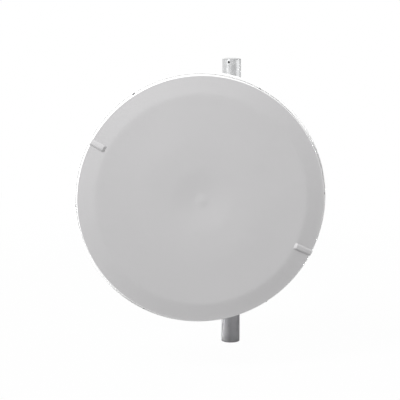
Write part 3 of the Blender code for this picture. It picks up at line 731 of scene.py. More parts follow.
def makeRingTree():
    # the same fastener set evenly on a circle: pointing outwards at Tilt 0, and backwards at a quarter turn
    tree, kit, given = startTree("fastenerRing", {
        "Count": ("Int", 6), "Ring Radius": ("Float", 0.1), "Height": ("Float", 0.0),
        "First Angle": ("Float", 0.0), "Tilt": ("Float", 0.0), "Size": ("Float", 1.0), "Seed": ("Int", 1),
        "Fastener": ("Object", None), "Material": ("Material", None),
    })
    angle = given["First Angle"] + kit.node("GeometryNodeInputIndex") * math.tau / given["Count"]
    spot = kit.around(given["Ring Radius"], angle, given["Height"])
    points = kit.node("GeometryNodePoints", {}, {"Count": given["Count"], "Position": spot})
    fastener = kit.node("GeometryNodeObjectInfo", {}, {"Object": given["Fastener"]}, output="Geometry")
    size = kit.vector(given["Size"], given["Size"], given["Size"])
    placed = kit.repeated(points, fastener, kit.vector(0.0, given["Tilt"] + math.pi / 2, angle), size)
    turn = kit.vector(0.0, 0.0, kit.random(0.0, math.tau, given["Seed"]))
    sockets = {"Instances": placed, "Rotation": turn, "Local Space": True}
    spun = kit.node("GeometryNodeRotateInstances", {}, sockets)
    return endTree(tree, kit, spun, given["Material"])


def makePointTree():
    # the same fastener on each vertex of the carrier, standing on the carrier's +Z
    tree, kit, given = startTree("fastenerPoints", {
        "Size": ("Float", 1.0), "Seed": ("Int", 1),
        "Fastener": ("Object", None), "Material": ("Material", None),
    })
    points = kit.node("GeometryNodeMeshToPoints", {"mode": "VERTICES"}, {"Mesh": given["Geometry"]})
    fastener = kit.node("GeometryNodeObjectInfo", {}, {"Object": given["Fastener"]}, output="Geometry")
    turn = kit.vector(0.0, 0.0, kit.random(0.0, math.tau, given["Seed"]))
    size = kit.vector(given["Size"], given["Size"], given["Size"])
    return endTree(tree, kit, kit.repeated(points, fastener, turn, size), given["Material"])


def makeThreadTree():
    # a ridge wound round a shank
    tree, kit, given = startTree("screwThread", {
        "Radius": ("Float", 0.005), "Pitch": ("Float", 0.0015), "Length": ("Float", 0.01),
        "Ridge": ("Float", 0.0006), "Material": ("Material", None),
    })
    line = kit.node("GeometryNodeCurveSpiral", {}, {
        "Resolution": 20, "Rotations": given["Length"] / given["Pitch"], "Start Radius": given["Radius"],
        "End Radius": given["Radius"], "Height": given["Length"],
    })
    ridge = kit.node("GeometryNodeCurvePrimitiveCircle", {}, {"Resolution": 4, "Radius": given["Ridge"]})
    sockets = {"Curve": line, "Profile Curve": ridge, "Fill Caps": True}
    wound = kit.node("GeometryNodeCurveToMesh", {}, sockets)
    return endTree(tree, kit, wound, given["Material"])


def makeWeldTree():
    # overlapping ripples along the carrier's edges
    tree, kit, given = startTree("weldBead", {
        "Bead Radius": ("Float", 0.0022), "Ripple Pitch": ("Float", 0.0018), "Unevenness": ("Float", 0.12),
        "Seed": ("Int", 1), "Material": ("Material", None),
    })
    path = kit.node("GeometryNodeMeshToCurve", {}, {0: given["Geometry"]})
    sockets = {"Curve": path, "Length": given["Ripple Pitch"]}
    even = kit.node("GeometryNodeResampleCurve", {"mode": "LENGTH"}, sockets)
    places = ("Points", "Rotation")
    points, turn = kit.node("GeometryNodeCurveToPoints", {"mode": "EVALUATED"}, {0: even}, output=places)
    sockets = {"Segments": 8, "Rings": 5, "Radius": given["Bead Radius"]}
    ball = kit.node("GeometryNodeMeshUVSphere", {}, sockets)
    squeeze = kit.random(1 - given["Unevenness"], given["Unevenness"] + 1, given["Seed"])
    placed = kit.repeated(points, ball, turn, kit.vector(squeeze, squeeze, squeeze * 0.75))
    return endTree(tree, kit, placed, given["Material"])


def makeTickTree():
    # short marks along an arc in the carrier's XY plane
    tree, kit, given = startTree("arcTicks", {
        "Count": ("Int", 9), "Arc Radius": ("Float", 0.059),
        "First Angle": ("Float", 0.0), "Sweep": ("Float", 0.7),
        "Tick Length": ("Float", 0.003), "Tick Width": ("Float", 0.0004), "Tick Height": ("Float", 0.00016),
        "Material": ("Material", None),
    })
    step = kit.node("GeometryNodeInputIndex")
    angle = given["First Angle"] + given["Sweep"] * step / (given["Count"] - 1.0)
    spot = kit.around(given["Arc Radius"], angle, 0.0)
    points = kit.node("GeometryNodePoints", {}, {"Count": given["Count"], "Position": spot})
    size = kit.vector(given["Tick Length"], given["Tick Width"], given["Tick Height"])
    tick = kit.node("GeometryNodeMeshCube", {}, {"Size": size})
    placed = kit.repeated(points, tick, kit.vector(0.0, 0.0, angle))
    return endTree(tree, kit, placed, given["Material"])


def guideMesh(points, edges=()):
    # bare points or straight runs for a tree to follow
    mesh = bpy.data.meshes.new("guide")
    mesh.from_pydata(points, edges, [])
    return mesh


paraboloidTree = makeParaboloidTree()
ringTree = makeRingTree()
pointTree = makePointTree()
threadTree = makeThreadTree()
weldTree = makeWeldTree()
tickTree = makeTickTree()
print("node trees made:", len(bpy.data.node_groups))


# mast and its cap

mastSizes = {
    "radius": 0.0254, "wall": 0.003, "brokenEdge": 0.0005, "endStrip": 0.02, "sides": 128,
    "holeRadius": 0.003, "holeDrop": 0.0064, "holeAngle": math.radians(-114), "holeDepth": 0.012,
    "holeSides": 32,
}


def makeMast(sizes):
    # a tube with one small hole through its near wall, below the top
    outer, inner, edge = sizes["radius"], sizes["radius"] - sizes["wall"], sizes["brokenEdge"]
    strip = sizes["endStrip"]
    profile = softened([
        (outer, 0, edge), (outer, strip), (outer, mastLength - strip), (outer, mastLength, edge),
        (inner, mastLength, edge), (inner, mastLength - strip), (inner, strip), (inner, 0, edge),
    ])
    tube = makePiece("mastTube", turnedShape(profile, sizes["sides"]), galvanisedMast, mastPlace)
    drill, hole = bmesh.new(), sizes["holeRadius"]
    bmesh.ops.create_cone(
        drill, cap_ends=True, segments=sizes["holeSides"], radius1=hole, radius2=hole,
        depth=sizes["holeDepth"],
    )
    towards = Vector((math.cos(sizes["holeAngle"]), math.sin(sizes["holeAngle"]), 0))
    spot = mastCentre + towards * outer + Vector((0, 0, mastLength - sizes["holeDrop"]))
    cutter = makePiece("mastDrill", drill, galvanisedMast, Matrix.Translation(spot) @ turnTo(towards))
    boolean = tube.modifiers.new("drilled", "BOOLEAN")
    boolean.solver = "EXACT"
    boolean.object = cutter
    depsgraph = bpy.context.evaluated_depsgraph_get()
    drilled = bpy.data.meshes.new_from_object(tube.evaluated_get(depsgraph), depsgraph=depsgraph)
    tube.modifiers.remove(boolean)
    bpy.data.objects.remove(cutter)
    tube.data = drilled
    drilled.set_sharp_from_angle(angle=math.radians(32))
    settle(tube, "mast", ["mast_tube"])


capSizes = {
    "radius": 0.0254, "gap": 0.0003, "brim": 0.0010, "dome": 0.0035, "domeSteps": 12, "plugRadius": 0.0221,
    "plug": 0.003, "sides": 96,
}


def makeMastCap(sizes):
    # a low dome whose plug stands in the tube
    base, plug = sizes["gap"], sizes["plugRadius"]
    dome = []
    for step in range(sizes["domeSteps"] + 1):
        angle = math.pi / 2 * step / sizes["domeSteps"]
        height = base + sizes["brim"] + sizes["dome"] * math.cos(angle)
        dome.append((sizes["radius"] * math.sin(angle), height))
    dome[0] = (0, dome[0][1])
    profile = dome + [(sizes["radius"], base), (plug, base), (plug, -sizes["plug"]), (0, -sizes["plug"])]
    place = mastPlace @ Matrix.Translation((0, 0, mastLength))
    turnedPiece("mastCap", profile, sizes["sides"], capPlastic, ["mast_cap"], place, "mast")


makeMast(mastSizes)
makeMastCap(capSizes)
print("mast made")


# jaws and bracket

jawSizes = {
    "halfWidth": 0.058, "mouth": 0.012, "corner": 0.010, "height": 0.040, "bevel": 0.0016, "mastGap": 0.0003,
    "veeHalfAngle": math.radians(60), "toothPitch": 0.0024, "toothDepth": 0.0008,
    "pocketWall": 0.0048, "pocketDepth": 0.007, "pocketInner": 0.0045, "pocketOuter": 0.0335,
    "innerCorner": 0.0015, "outerCorner": 0.0025, "floorLap": 0.0008, "floorBevel": 0.0004,
}


def makeJaw(name, node, facing, sizes):
    # a ribbed casting with a toothed vee, seen from above in (x, distance from the mast's axis)
    low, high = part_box(node)
    depth = mastCentre.y - low.y if facing < 0 else high.y - mastCentre.y
    apex = (mastSizes["radius"] + sizes["mastGap"]) / math.sin(sizes["veeHalfAngle"])
    mouth = (apex - sizes["mouth"]) * math.tan(sizes["veeHalfAngle"])
    flank = math.hypot(mouth, apex - sizes["mouth"])
    teeth = int(flank / sizes["toothPitch"])
    along = Vector((mouth, sizes["mouth"] - apex)).normalized()
    inward = Vector((along.y, -along.x)) * (-1)  # into the metal
    right = []
    for tooth in range(1, teeth):
        start = Vector((0, apex)) + along * (tooth * flank / teeth)
        right.append(tuple(start))
        right.append(tuple(start + along * (0.5 * flank / teeth) + inward * sizes["toothDepth"]))
    right.append((mouth, sizes["mouth"]))
    left = [(-x, y) for x, y in reversed(right)]
    half, corner = sizes["halfWidth"], sizes["corner"]
    outline = left + [(0, apex + sizes["toothDepth"])] + right + softened([
        (half, sizes["mouth"]), (half, depth, corner), (-half, depth, corner), (-half, sizes["mouth"]),
    ], 6)
    slope = (apex - sizes["mouth"]) / mouth
    wall = sizes["pocketWall"]

    def pocket(side, shrink):
        # the hollow beside the vee, open to above and below
        inner, outer = sizes["pocketInner"] + shrink, sizes["pocketOuter"] - shrink
        lift = wall / math.sin(sizes["veeHalfAngle"]) + shrink
        points = softened([
            (inner, apex - slope * inner + lift, sizes["innerCorner"]),
            (outer, apex - slope * outer + lift, sizes["outerCorner"]),
            (outer, depth - wall - shrink, sizes["outerCorner"]),
            (inner, depth - wall - shrink, sizes["innerCorner"]),
        ], 3)
        return [(side * x, y) for x, y in points]

    shapes = [plateShape(outline, [pocket(1, 0), pocket(-1, 0)], sizes["height"], sizes["bevel"])]
    for side in (1, -1):
        floor = pocket(side, -sizes["floorLap"])
        shapes.append(plateShape(floor, [], sizes["height"] - 2 * sizes["pocketDepth"], sizes["floorBevel"]))
    place = Matrix.Translation((mastCentre.x, mastCentre.y, (low.z + high.z) / 2))
    place = place @ Matrix.Scale(facing, 4, (0, 1, 0))
    whole = joined([(shape, asDrawn) for shape in shapes])
    makePiece(name, whole, jawAluminium, place, "bracket", [node], plate=True)


for end, facing in (("front", -1), ("rear", 1)):
    for level in ("upper", "lower"):
        makeJaw(level + end.title() + "Jaw", level + "_" + end + "_jaw", facing, jawSizes)

webSizes = {
    "halfWidth": 0.058, "waist": 0.035, "shoulder": 0.085, "shoulderDrop": 0.0092, "corner": 0.010,
    "waistCorner": 0.012, "shoulderCorner": 0.004, "bevel": 0.0007, "boltX": 0.044, "boltZ": 0.105,
    "holeRadius": 0.0056,
}


def makeWeb(sizes):
    # the plate that carries the front jaws, narrower between them
    low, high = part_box("bracket_web")
    waist, wide = sizes["waist"], sizes["halfWidth"]
    half = [
        (waist, sizes["shoulder"] - sizes["shoulderDrop"], sizes["waistCorner"]),
        (wide, sizes["shoulder"], sizes["shoulderCorner"]), (wide, (high.z - low.z) / 2, sizes["corner"]),
    ]
    top = half + [(-x, *rest) for x, *rest in reversed(half)]
    outline = softened(top + [(x, -z, *rest) for x, z, *rest in reversed(top)], 6)
    boltX, boltZ = sizes["boltX"], sizes["boltZ"]
    holes = [circlePoints((x, z), sizes["holeRadius"]) for x in (-boltX, boltX) for z in (-boltZ, boltZ)]
    place = Matrix.Translation((low + high) / 2) @ frontPlate
    steelPlate("bracketWeb", "bracket_web", "bracket", outline, holes, high.y - low.y, sizes["bevel"], place)


makeWeb(webSizes)

pivotSizes = {
    "pivotForward": 0.088,  # the tilt pivot's distance in front of the mast's axis
    "pivotRadius": 0.0066, "pivotBoss": 0.016, "lockArm": 0.050, "lockRadius": 0.0056, "lockBoss": 0.013,
    "slotHalfWidth": 0.0056, "slotHalfAngle": math.radians(21.5), "slotEdge": 0.009, "bevel": 0.0007,
    "cheekBottom": -0.052, "cheekTop": 0.066, "cheekBossStart": math.radians(-60),
    "earBottom": -0.062, "earTop": 0.062,
    "earFrontAngle": math.radians(26.8), "earEndAngle": math.radians(2.9),
    "earBossStart": math.radians(160), "earBossEnd": math.radians(255),
}
pivotPoint = Vector((0, mastCentre.y - pivotSizes["pivotForward"], dishCentre.z))


def sidePiece(name, node, body, profile, holes, sizes):
    # a plate beside the pivot, drawn in (distance in front of the pivot, height above it)
    low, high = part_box(node)
    outline, *holes = [[(-forward, z) for forward, z in loop] for loop in (profile, *holes)]
    place = Matrix.Translation(((low.x + high.x) / 2, pivotPoint.y, pivotPoint.z)) @ sidePlate
    steelPlate(name, node, body, outline, holes, high.x - low.x, sizes["bevel"], place)


def makeCheek(side, sizes):
    node = "bracket_cheek_" + side
    foot = pivotPoint.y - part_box(node)[1].y  # negative, because the web stands behind the pivot
    profile = [
        (foot, sizes["cheekBottom"]), *arcPoints((0, 0), sizes["pivotBoss"], sizes["cheekBossStart"], 0),
        *arcPoints((0, sizes["lockArm"]), sizes["lockBoss"], 0, math.pi / 2), (foot, sizes["cheekTop"]),
    ]
    holes = [
        [(-x, z) for x, z in circlePoints((0, 0), sizes["pivotRadius"])],
        [(-x, z) for x, z in circlePoints((0, sizes["lockArm"]), sizes["lockRadius"])],
    ]
    sidePiece("bracketCheek" + side.title(), node, "bracket", profile, holes, sizes)


def makeEar(side, sizes):
    # a plate on the dish with a round hole at the pivot and an arc slot round it
    node = "tilt_ear_" + side
    foot = pivotPoint.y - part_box(node)[0].y  # from the pivot forward to the mount plate
    up, arm, half = math.pi / 2, sizes["lockArm"], sizes["slotHalfWidth"]
    edge, innerEdge = arm + half + sizes["slotEdge"], arm - half - sizes["slotEdge"]
    end = up + sizes["slotHalfAngle"] + (half + sizes["slotEdge"]) / arm
    profile = [
        (foot, sizes["earBottom"]), (foot, sizes["earTop"]),
        *arcPoints((0, 0), edge, up - sizes["earFrontAngle"], end, 3),
        *arcPoints((0, 0), innerEdge, end, end + sizes["earEndAngle"]),
        *arcPoints((0, 0), sizes["pivotBoss"], sizes["earBossStart"], sizes["earBossEnd"]),
    ]
    start, stop = up - sizes["slotHalfAngle"], up + sizes["slotHalfAngle"]
    slot = [
        *arcPoints((0, 0), arm + half, start, stop, 3),
        *arcPoints((arm * math.cos(stop), arm * math.sin(stop)), half, stop, stop + math.pi, 12)[1:-1],
        *arcPoints((0, 0), arm - half, stop, start, 3),
        *arcPoints((arm * math.cos(start), arm * math.sin(start)), half, start - math.pi, start, 12)[1:-1],
    ]
    pivotHole = [(-x, z) for x, z in circlePoints((0, 0), sizes["pivotRadius"])]
    sidePiece("tiltEar" + side.title(), node, "dish", profile, [pivotHole, slot], sizes)


for sideName in ("left", "right"):
    makeCheek(sideName, pivotSizes)
    makeEar(sideName, pivotSizes)

tickSizes = {
    "count": 9, "radius": 0.0598, "length": 0.0032, "width": 0.00045, "height": 0.0003,
    "first": math.radians(70), "sweep": math.radians(40),
}


def makeTicks(sizes):
    # elevation marks beside the slot, on the outer face of each ear
    for side in ("left", "right"):
        low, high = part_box("tilt_ear_" + side)
        face = low.x if side == "left" else high.x
        place = Matrix.Translation((face, pivotPoint.y, pivotPoint.z)) @ sidePlate
        growPiece("earMarks" + side.title(), tickTree, {
            "Count": sizes["count"], "Arc Radius": sizes["radius"], "First Angle": sizes["first"],
            "Sweep": sizes["sweep"], "Tick Length": sizes["length"], "Tick Width": sizes["width"],
            "Tick Height": sizes["height"], "Material": darkScrew,
        }, place, "dish")


makeTicks(tickSizes)

plateSizes = {"corner": 0.020, "holeRadius": 0.056, "holeSides": 72, "bevel": 0.0007}


def makeMountPlate(sizes):
    # the plate across the back ring, with a wide hole round the feed
    low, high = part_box("mount_plate")
    corners = ((low.x, low.z), (high.x, low.z), (high.x, high.z), (low.x, high.z))
    outline = softened([(x, z, sizes["corner"]) for x, z in corners], 10)
    hole = circlePoints((dishCentre.x, dishCentre.z), sizes["holeRadius"], sizes["holeSides"])
    place = Matrix.Translation((0, (low.y + high.y) / 2, 0)) @ frontPlate
    steelPlate("mountPlate", "mount_plate", "dish", outline, [hole], high.y - low.y, sizes["bevel"], place)


makeMountPlate(plateSizes)
print("bracket and mount made")


# bolts

clampBoltSizes = {
    "flats": 0.0164, "head": 0.0065, "nut": 0.0085,
    "washer": 0.002, "washerRadius": 0.0105, "washerBore": 0.004,
    "radius": 0.005, "seat": 0.0403, "nutSeat": 0.0536, "end": 0.0716, "pitch": 0.0015, "ridge": 0.00055,
    "middleThread": 0.014, "nutLap": 0.001, "plainTip": 0.0012,
}
headDown = Matrix.Rotation(math.pi, 4, "X")


def makeThread(name, place, radius, length, pitch, ridge):
    values = {"Radius": radius, "Pitch": pitch, "Length": length, "Ridge": ridge, "Material": boltSteel}
    growPiece(name, threadTree, values, place, "bracket", sharp=20)


def makeClampBolts(sizes):
    # head and washer at the front, washer and nut behind, thread between the jaws and past the nut
    core = sizes["radius"] - sizes["ridge"] * 0.9
    head, nut = -sizes["seat"] - sizes["washer"], sizes["nutSeat"] + sizes["washer"]
    threads = {
        "Middle": (-sizes["middleThread"], sizes["middleThread"]),
        "End": (nut + sizes["nut"] - sizes["nutLap"], sizes["end"] - sizes["plainTip"]),
    }
    for index, corner in enumerate(("upper_left", "upper_right", "lower_left", "lower_right")):
        node = "clamp_bolt_" + corner
        low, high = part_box(node)
        washers = [washerShape(sizes["washerBore"], sizes["washerRadius"], sizes["washer"]) for _ in range(2)]
        headPlace = lifted(head) @ headDown @ lifted(0, 0.3 + index)
        shapes = [
            (hexShape(sizes["flats"], sizes["head"], False), headPlace),
            (washers[0], lifted(head)),
            (shankShape(core, -sizes["seat"], sizes["end"]), asDrawn),
            (washers[1], lifted(sizes["nutSeat"])),
            (hexShape(sizes["flats"], sizes["nut"], True), lifted(nut, 0.9 * index)),
        ]
        axis = Vector(((low.x + high.x) / 2, mastCentre.y, (low.z + high.z) / 2))
        place = Matrix.Translation(axis) @ frontPlate
        name = "clampBolt" + corner.title().replace("_", "")
        makePiece(name, joined(shapes), boltSteel, place, "bracket", [node], sharp=20)
        for part, (start, end) in threads.items():
            spot = place @ lifted(start)
            makeThread(name + "Thread" + part, spot, core, end - start, sizes["pitch"], sizes["ridge"])


sideBoltSizes = {
    "pivot": {"flats": 0.0184, "radius": 0.006, "spacer": 0.0115},
    "lock": {"flats": 0.0160, "radius": 0.005, "spacer": 0.0100},
    "tip": 0.0177, "tipChamfer": 0.0008, "nutEnd": 0.0207, "nutSeat": 0.0297, "spacerStart": 0.0353,
    "spacerEnd": 0.0402, "spacerEdge": 0.0004, "washerSeat": 0.0458, "washer": 0.002, "washerBore": 0.003,
    "shankEnd": 0.047, "head": 0.007, "pitch": 0.0015, "ridge": 0.00055,
}


def makeSideBolt(kind, side, index, sizes):
    # measured outwards from the dish's middle plane: nut, spacer, washer and head
    own = sizes[kind]
    node = kind + "_bolt_" + side
    low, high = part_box(node)
    core = own["radius"] - sizes["ridge"] * 0.9
    tip, chamfer, shankEnd = sizes["tip"], sizes["tipChamfer"], sizes["shankEnd"]
    start, end = sizes["spacerStart"], sizes["spacerEnd"]
    edge, bore = sizes["spacerEdge"], sizes["washerBore"]
    nut = hexShape(own["flats"], sizes["nutSeat"] - sizes["nutEnd"], True)
    line = [(0, tip), (core - chamfer, tip), (core, tip + chamfer), (core, shankEnd), (0, shankEnd)]
    shank = turnedShape(line, 32)
    ring = [(bore, start), (own["spacer"], start, edge), (own["spacer"], end, edge), (bore, end)]
    head = hexShape(own["flats"], sizes["head"], False)
    shapes = [
        (nut, lifted(sizes["nutEnd"], 0.4 + index)),
        (shank, asDrawn),
        (turnedShape(softened(ring, 2), 48), asDrawn),
        (washerShape(bore, own["spacer"], sizes["washer"]), lifted(sizes["washerSeat"])),
        (head, lifted(sizes["washerSeat"] + sizes["washer"], 0.2 + 0.7 * index)),
    ]
    spot = Vector((0, (low.y + high.y) / 2, (low.z + high.z) / 2))
    place = Matrix.Translation(spot) @ turnTo((-1 if side == "left" else 1, 0, 0))
    name = kind + "Bolt" + side.title()
    makePiece(name, joined(shapes), boltSteel, place, "bracket", [node], sharp=20)
    length = sizes["nutEnd"] - tip - chamfer
    spot = place @ lifted(tip + 0.001)
    makeThread(name + "Thread", spot, core, length, sizes["pitch"], sizes["ridge"] * 0.8)


makeClampBolts(clampBoltSizes)
for kindName in ("pivot", "lock"):
    for sideIndex, sideName in enumerate(("left", "right")):
        makeSideBolt(kindName, sideName, sideIndex, sideBoltSizes)
print("bolts made")


# radome, reflector, collar and ring

faceSizes = {
    "radius": 0.3055, "rounding": 0.0025, "flare": 0.001, "creaseRadius": 0.2612, "creaseRise": 0.0074,
    "blend": 0.004, "coneRadius": 0.165, "coneSlope": 0.0425, "crownRadius": 0.110, "dipRadius": 0.085,
    "dip": 0.0025, "nibRadius": 0.020, "nibRise": 0.0009, "wall": 0.0028, "skirtRadius": 0.3090,
    "skirtFoot": -0.0397, "skirtRow": 0.006, "rimFloor": -0.040,
    "rings": 70, "roundingSteps": 8, "sides": 240,
}


def chamferHeight(radius, sizes):
    return sizes["creaseRise"] * (sizes["radius"] - radius) / (sizes["radius"] - sizes["creaseRadius"])


def rawHeight(radius, sizes):
    # the radome's front, forward of the plane of its edge: chamfer, cone, flat crown, dip and nib
    if radius > sizes["creaseRadius"]:
        return chamferHeight(radius, sizes)
    inside = sizes["creaseRadius"] - max(radius, sizes["coneRadius"])
    height = sizes["creaseRise"] + sizes["coneSlope"] * inside
    if radius < sizes["coneRadius"]:
        inward = sizes["coneRadius"] - max(radius, sizes["crownRadius"])
        blend = 2 * (sizes["coneRadius"] - sizes["crownRadius"])
        height += sizes["coneSlope"] * (inward - inward ** 2 / blend)
    if radius < sizes["dipRadius"]:
        height -= sizes["dip"] * (1 - (radius / sizes["dipRadius"]) ** 2) ** 2
    if radius < sizes["nibRadius"]:
        height += sizes["nibRise"] * (0.5 + 0.5 * math.cos(math.pi * radius / sizes["nibRadius"]))
    return height


def faceHeight(radius, sizes):
    # averaged over a few millimetres, which rounds the crease
    shares = (-1, -0.5, 0, 0.5, 1)
    return sum(rawHeight(abs(radius + sizes["blend"] * share), sizes) for share in shares) / len(shares)


def skirtAt(height, sizes):
    front = sizes["radius"] + sizes["flare"]
    part = (-sizes["rounding"] - height) / (-sizes["rounding"] - sizes["rimFloor"])
    return front + (sizes["skirtRadius"] - front) * part


def makeRadome(sizes):
    # a shell: the face, its rounded edge and the skirt, then the inside on the way back
    rounding, foot, wall = sizes["rounding"], sizes["skirtFoot"], sizes["wall"]
    edge = sizes["radius"] - rounding
    radii = [edge * step / sizes["rings"] for step in range(sizes["rings"] + 1)]
    outer = [(r, faceHeight(r, sizes)) for r in radii]
    across, down = rounding + sizes["flare"], rounding + faceHeight(edge, sizes)
    for step in range(1, sizes["roundingSteps"] + 1):
        angle = math.pi / 2 * step / sizes["roundingSteps"]
        outer.append((edge + across * math.sin(angle), -rounding + down * math.cos(angle)))
    rows = int(-foot / sizes["skirtRow"])
    heights = [-sizes["skirtRow"] * row for row in range(1, rows + 1)] + [foot]
    outer += [(skirtAt(h, sizes), h) for h in heights]
    inner = [(skirtAt(h, sizes) - wall, h) for h in (foot, -rounding)]
    inner += [(r, faceHeight(r, sizes) - wall) for r in reversed(radii[::3])]
    inner[-1] = (0, inner[-1][1])
    turnedPiece("radomeShell", outer + inner, sizes["sides"], radomePlastic, ["radome"])


makeRadome(faceSizes)

dishSizes = {
    "hubHole": 0.024, "aperture": 0.300, "focalLength": 0.160, "wall": 0.002, "rings": 41, "sides": 180,
    "rimFloor": -0.040, "rimRadius": 0.3145, "rimFront": -0.028, "rimWall": 0.0016, "rimLap": 0.001,
    "lipWidth": 0.0057, "lipDepth": 0.0022, "rimSides": 240,
}


def dishHeight(radius, sizes):
    return sizes["rimFloor"] + (radius ** 2 - sizes["aperture"] ** 2) / (4 * sizes["focalLength"])


def dishBack(radius, depth):
    # the height that lies a given depth behind the reflector's front, square to it
    return dishHeight(radius, dishSizes) - depth * math.hypot(1, radius / (2 * dishSizes["focalLength"]))


def makeReflector(sizes):
    growPiece("reflectorSheet", paraboloidTree, {
        "Inner Radius": sizes["hubHole"], "Outer Radius": sizes["aperture"],
        "Focal Length": sizes["focalLength"], "Rim Height": sizes["rimFloor"], "Wall": sizes["wall"],
        "Rings": sizes["rings"], "Sides": sizes["sides"], "Material": dishPaint,
    }, dishPlace, "dish", ["reflector"])
    # the rim: a flat floor, a wall, and a lip rolled inwards over the groove
    floor, outer, front = sizes["rimFloor"], sizes["rimRadius"], sizes["rimFront"]
    back, under = floor - sizes["wall"], front - sizes["lipDepth"]
    start = sizes["aperture"] - sizes["rimLap"]
    lip, wall = outer - sizes["lipWidth"], outer - sizes["rimWall"]
    profile = softened([
        (start, back), (outer, back, 0.0022), (outer, front, 0.0016), (lip, front, 0.0009),
        (lip, under, 0.0009), (wall, under, 0.0006), (wall, floor, 0.0015), (start, floor),
    ], 5)
    turnedPiece("reflectorRim", profile, sizes["rimSides"], dishPaint)


makeReflector(dishSizes)

collarSizes = {
    "radius": 0.3033, "wall": 0.0025, "front": -0.008, "foot": -0.0397, "edge": 0.0006, "sides": 180,
}


def makeCollar(sizes):
    # the plain ring inside the radome's skirt
    outer, inner, edge = sizes["radius"], sizes["radius"] - sizes["wall"], sizes["edge"]
    front, foot = sizes["front"], sizes["foot"]
    profile = softened([(outer, front, edge), (outer, foot), (inner, foot), (inner, front, edge)], 3)
    turnedPiece("rimCollar", profile, sizes["sides"], dishPaint, ["rim_collar"])


makeCollar(collarSizes)

ringSizes = {"radius": 0.165, "wall": 0.003, "flange": 0.022, "foot": 0.181, "gap": 0.0003, "sides": 180}


def makeBackRing(sizes):
    # a ring whose foot lies on the reflector's back, with a flange turned in for the mount plate
    back = dishCentre.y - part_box("back_ring")[1].y
    outer, wall, foot = sizes["radius"], sizes["wall"], sizes["foot"]
    inner, lip = outer - wall, outer - sizes["flange"]
    seat = dishSizes["wall"] + sizes["gap"]
    seatRadii = [inner + (foot - outer + wall) * step / 4 for step in range(5)]
    profile = [(r, dishBack(r, seat)) for r in seatRadii]
    profile += softened([
        (foot, dishBack(foot, seat)), (foot, dishBack(foot, seat + wall), 0.0008),
        (outer, dishBack(outer, seat + wall), 0.004), (outer, back, 0.003), (lip, back, 0.0008),
        (lip, back + wall, 0.0008), (inner, back + wall, 0.002), (inner, dishBack(inner, seat)),
    ], 5)[1:-1]
    turnedPiece("backRing", profile, sizes["sides"], bracketSteel, ["back_ring"])


makeBackRing(ringSizes)
print("radome, reflector and ring made")


# clips over the radome's edge

clipSizes = {
    "left": {"turn": math.radians(-61.4), "inner": 0.2675},
    "right": {"turn": math.radians(116.5), "inner": 0.2585},
    "width": 0.0158, "seat": 0.0001, "top": 0.0031, "thinEdge": 0.0005, "hookDepth": 0.024, "hookWall": 0.002,
    "gap": 0.0003, "ramp": 0.0042, "rampSteps": 6, "endRamp": 0.0060,
    "screwInset": 0.0070, "screwRadius": 0.0016,
}


def clipOutline(inner, fullness, sizes):
    # side view of the strip: thin along its two long edges and full in its middle
    edge = faceSizes["radius"] + faceSizes["flare"]
    foot, seat, gap = -sizes["hookDepth"], sizes["seat"], sizes["gap"]
    top = seat + sizes["thinEdge"] + (sizes["top"] - seat - sizes["thinEdge"]) * fullness
    wall = sizes["hookWall"] * (0.5 + 0.5 * fullness)
    inside = skirtAt(foot, faceSizes) + gap

    def above(radius, lift):
        return chamferHeight(radius, faceSizes) + lift

    return softened([
        (inner, above(inner, seat)), (edge + gap, above(edge, seat), 0.0004), (inside, foot),
        (inside + wall, foot, wall * 0.3),
        (edge + wall + gap, above(edge, seat + (top - seat) * 0.5), wall * 0.7),
        (edge - 0.0012, above(edge, top), wall * 0.8), (inner + sizes["endRamp"], above(inner, top), 0.0020),
        (inner, above(inner, seat + 0.0004), 0.0002),
    ], 4)


def makeClip(side, sizes):
    # a moulded strip along the chamfer with sloped sides, hooked down over the edge
    inner, half = sizes[side]["inner"], sizes["width"] / 2
    stations = []
    for step in range(sizes["rampSteps"] + 1):
        part = step / sizes["rampSteps"]
        stations.append((-half + sizes["ramp"] * part, 0.5 - 0.5 * math.cos(math.pi * (0.12 + 0.88 * part))))
    stations += [(-y, fullness) for y, fullness in reversed(stations)]
    bm = bmesh.new()
    rings = []
    for y, fullness in stations:
        rings.append([bm.verts.new((x, y, z)) for x, z in clipOutline(inner, fullness, sizes)])
    for near, far in zip(rings, rings[1:]):
        for k in range(len(near)):
            following = (k + 1) % len(near)
            bm.faces.new((near[k], far[k], far[following], near[following]))
    bm.faces.new(rings[0])
    bm.faces.new(list(reversed(rings[-1])))
    place = dishPlace @ Matrix.Rotation(math.pi / 2 - sizes[side]["turn"], 4, "Z")
    node = "radome_clip_" + side
    makePiece("radomeClip" + side.title(), bm, clipPlastic, place, "dish", [node], sharp=40)
    spot, radius = inner + sizes["screwInset"], sizes["screwRadius"]
    screw = softened([
        (0, 0.0005), (radius * 0.8, 0.0004), (radius, 0.0001, 0.0003), (radius, -0.0008), (0, -0.0008),
    ], 3)
    slope = faceSizes["creaseRise"] / (faceSizes["radius"] - faceSizes["creaseRadius"])
    seat = place @ Matrix.Translation((spot, 0, chamferHeight(spot, faceSizes) + sizes["top"]))
    seat = seat @ Matrix.Rotation(math.atan(slope), 4, "Y")
    turnedPiece("clipScrew" + side.title(), screw, 24, boltSteel, place=seat)


makeClip("left", clipSizes)
makeClip("right", clipSizes)
print("clips made")


# feed

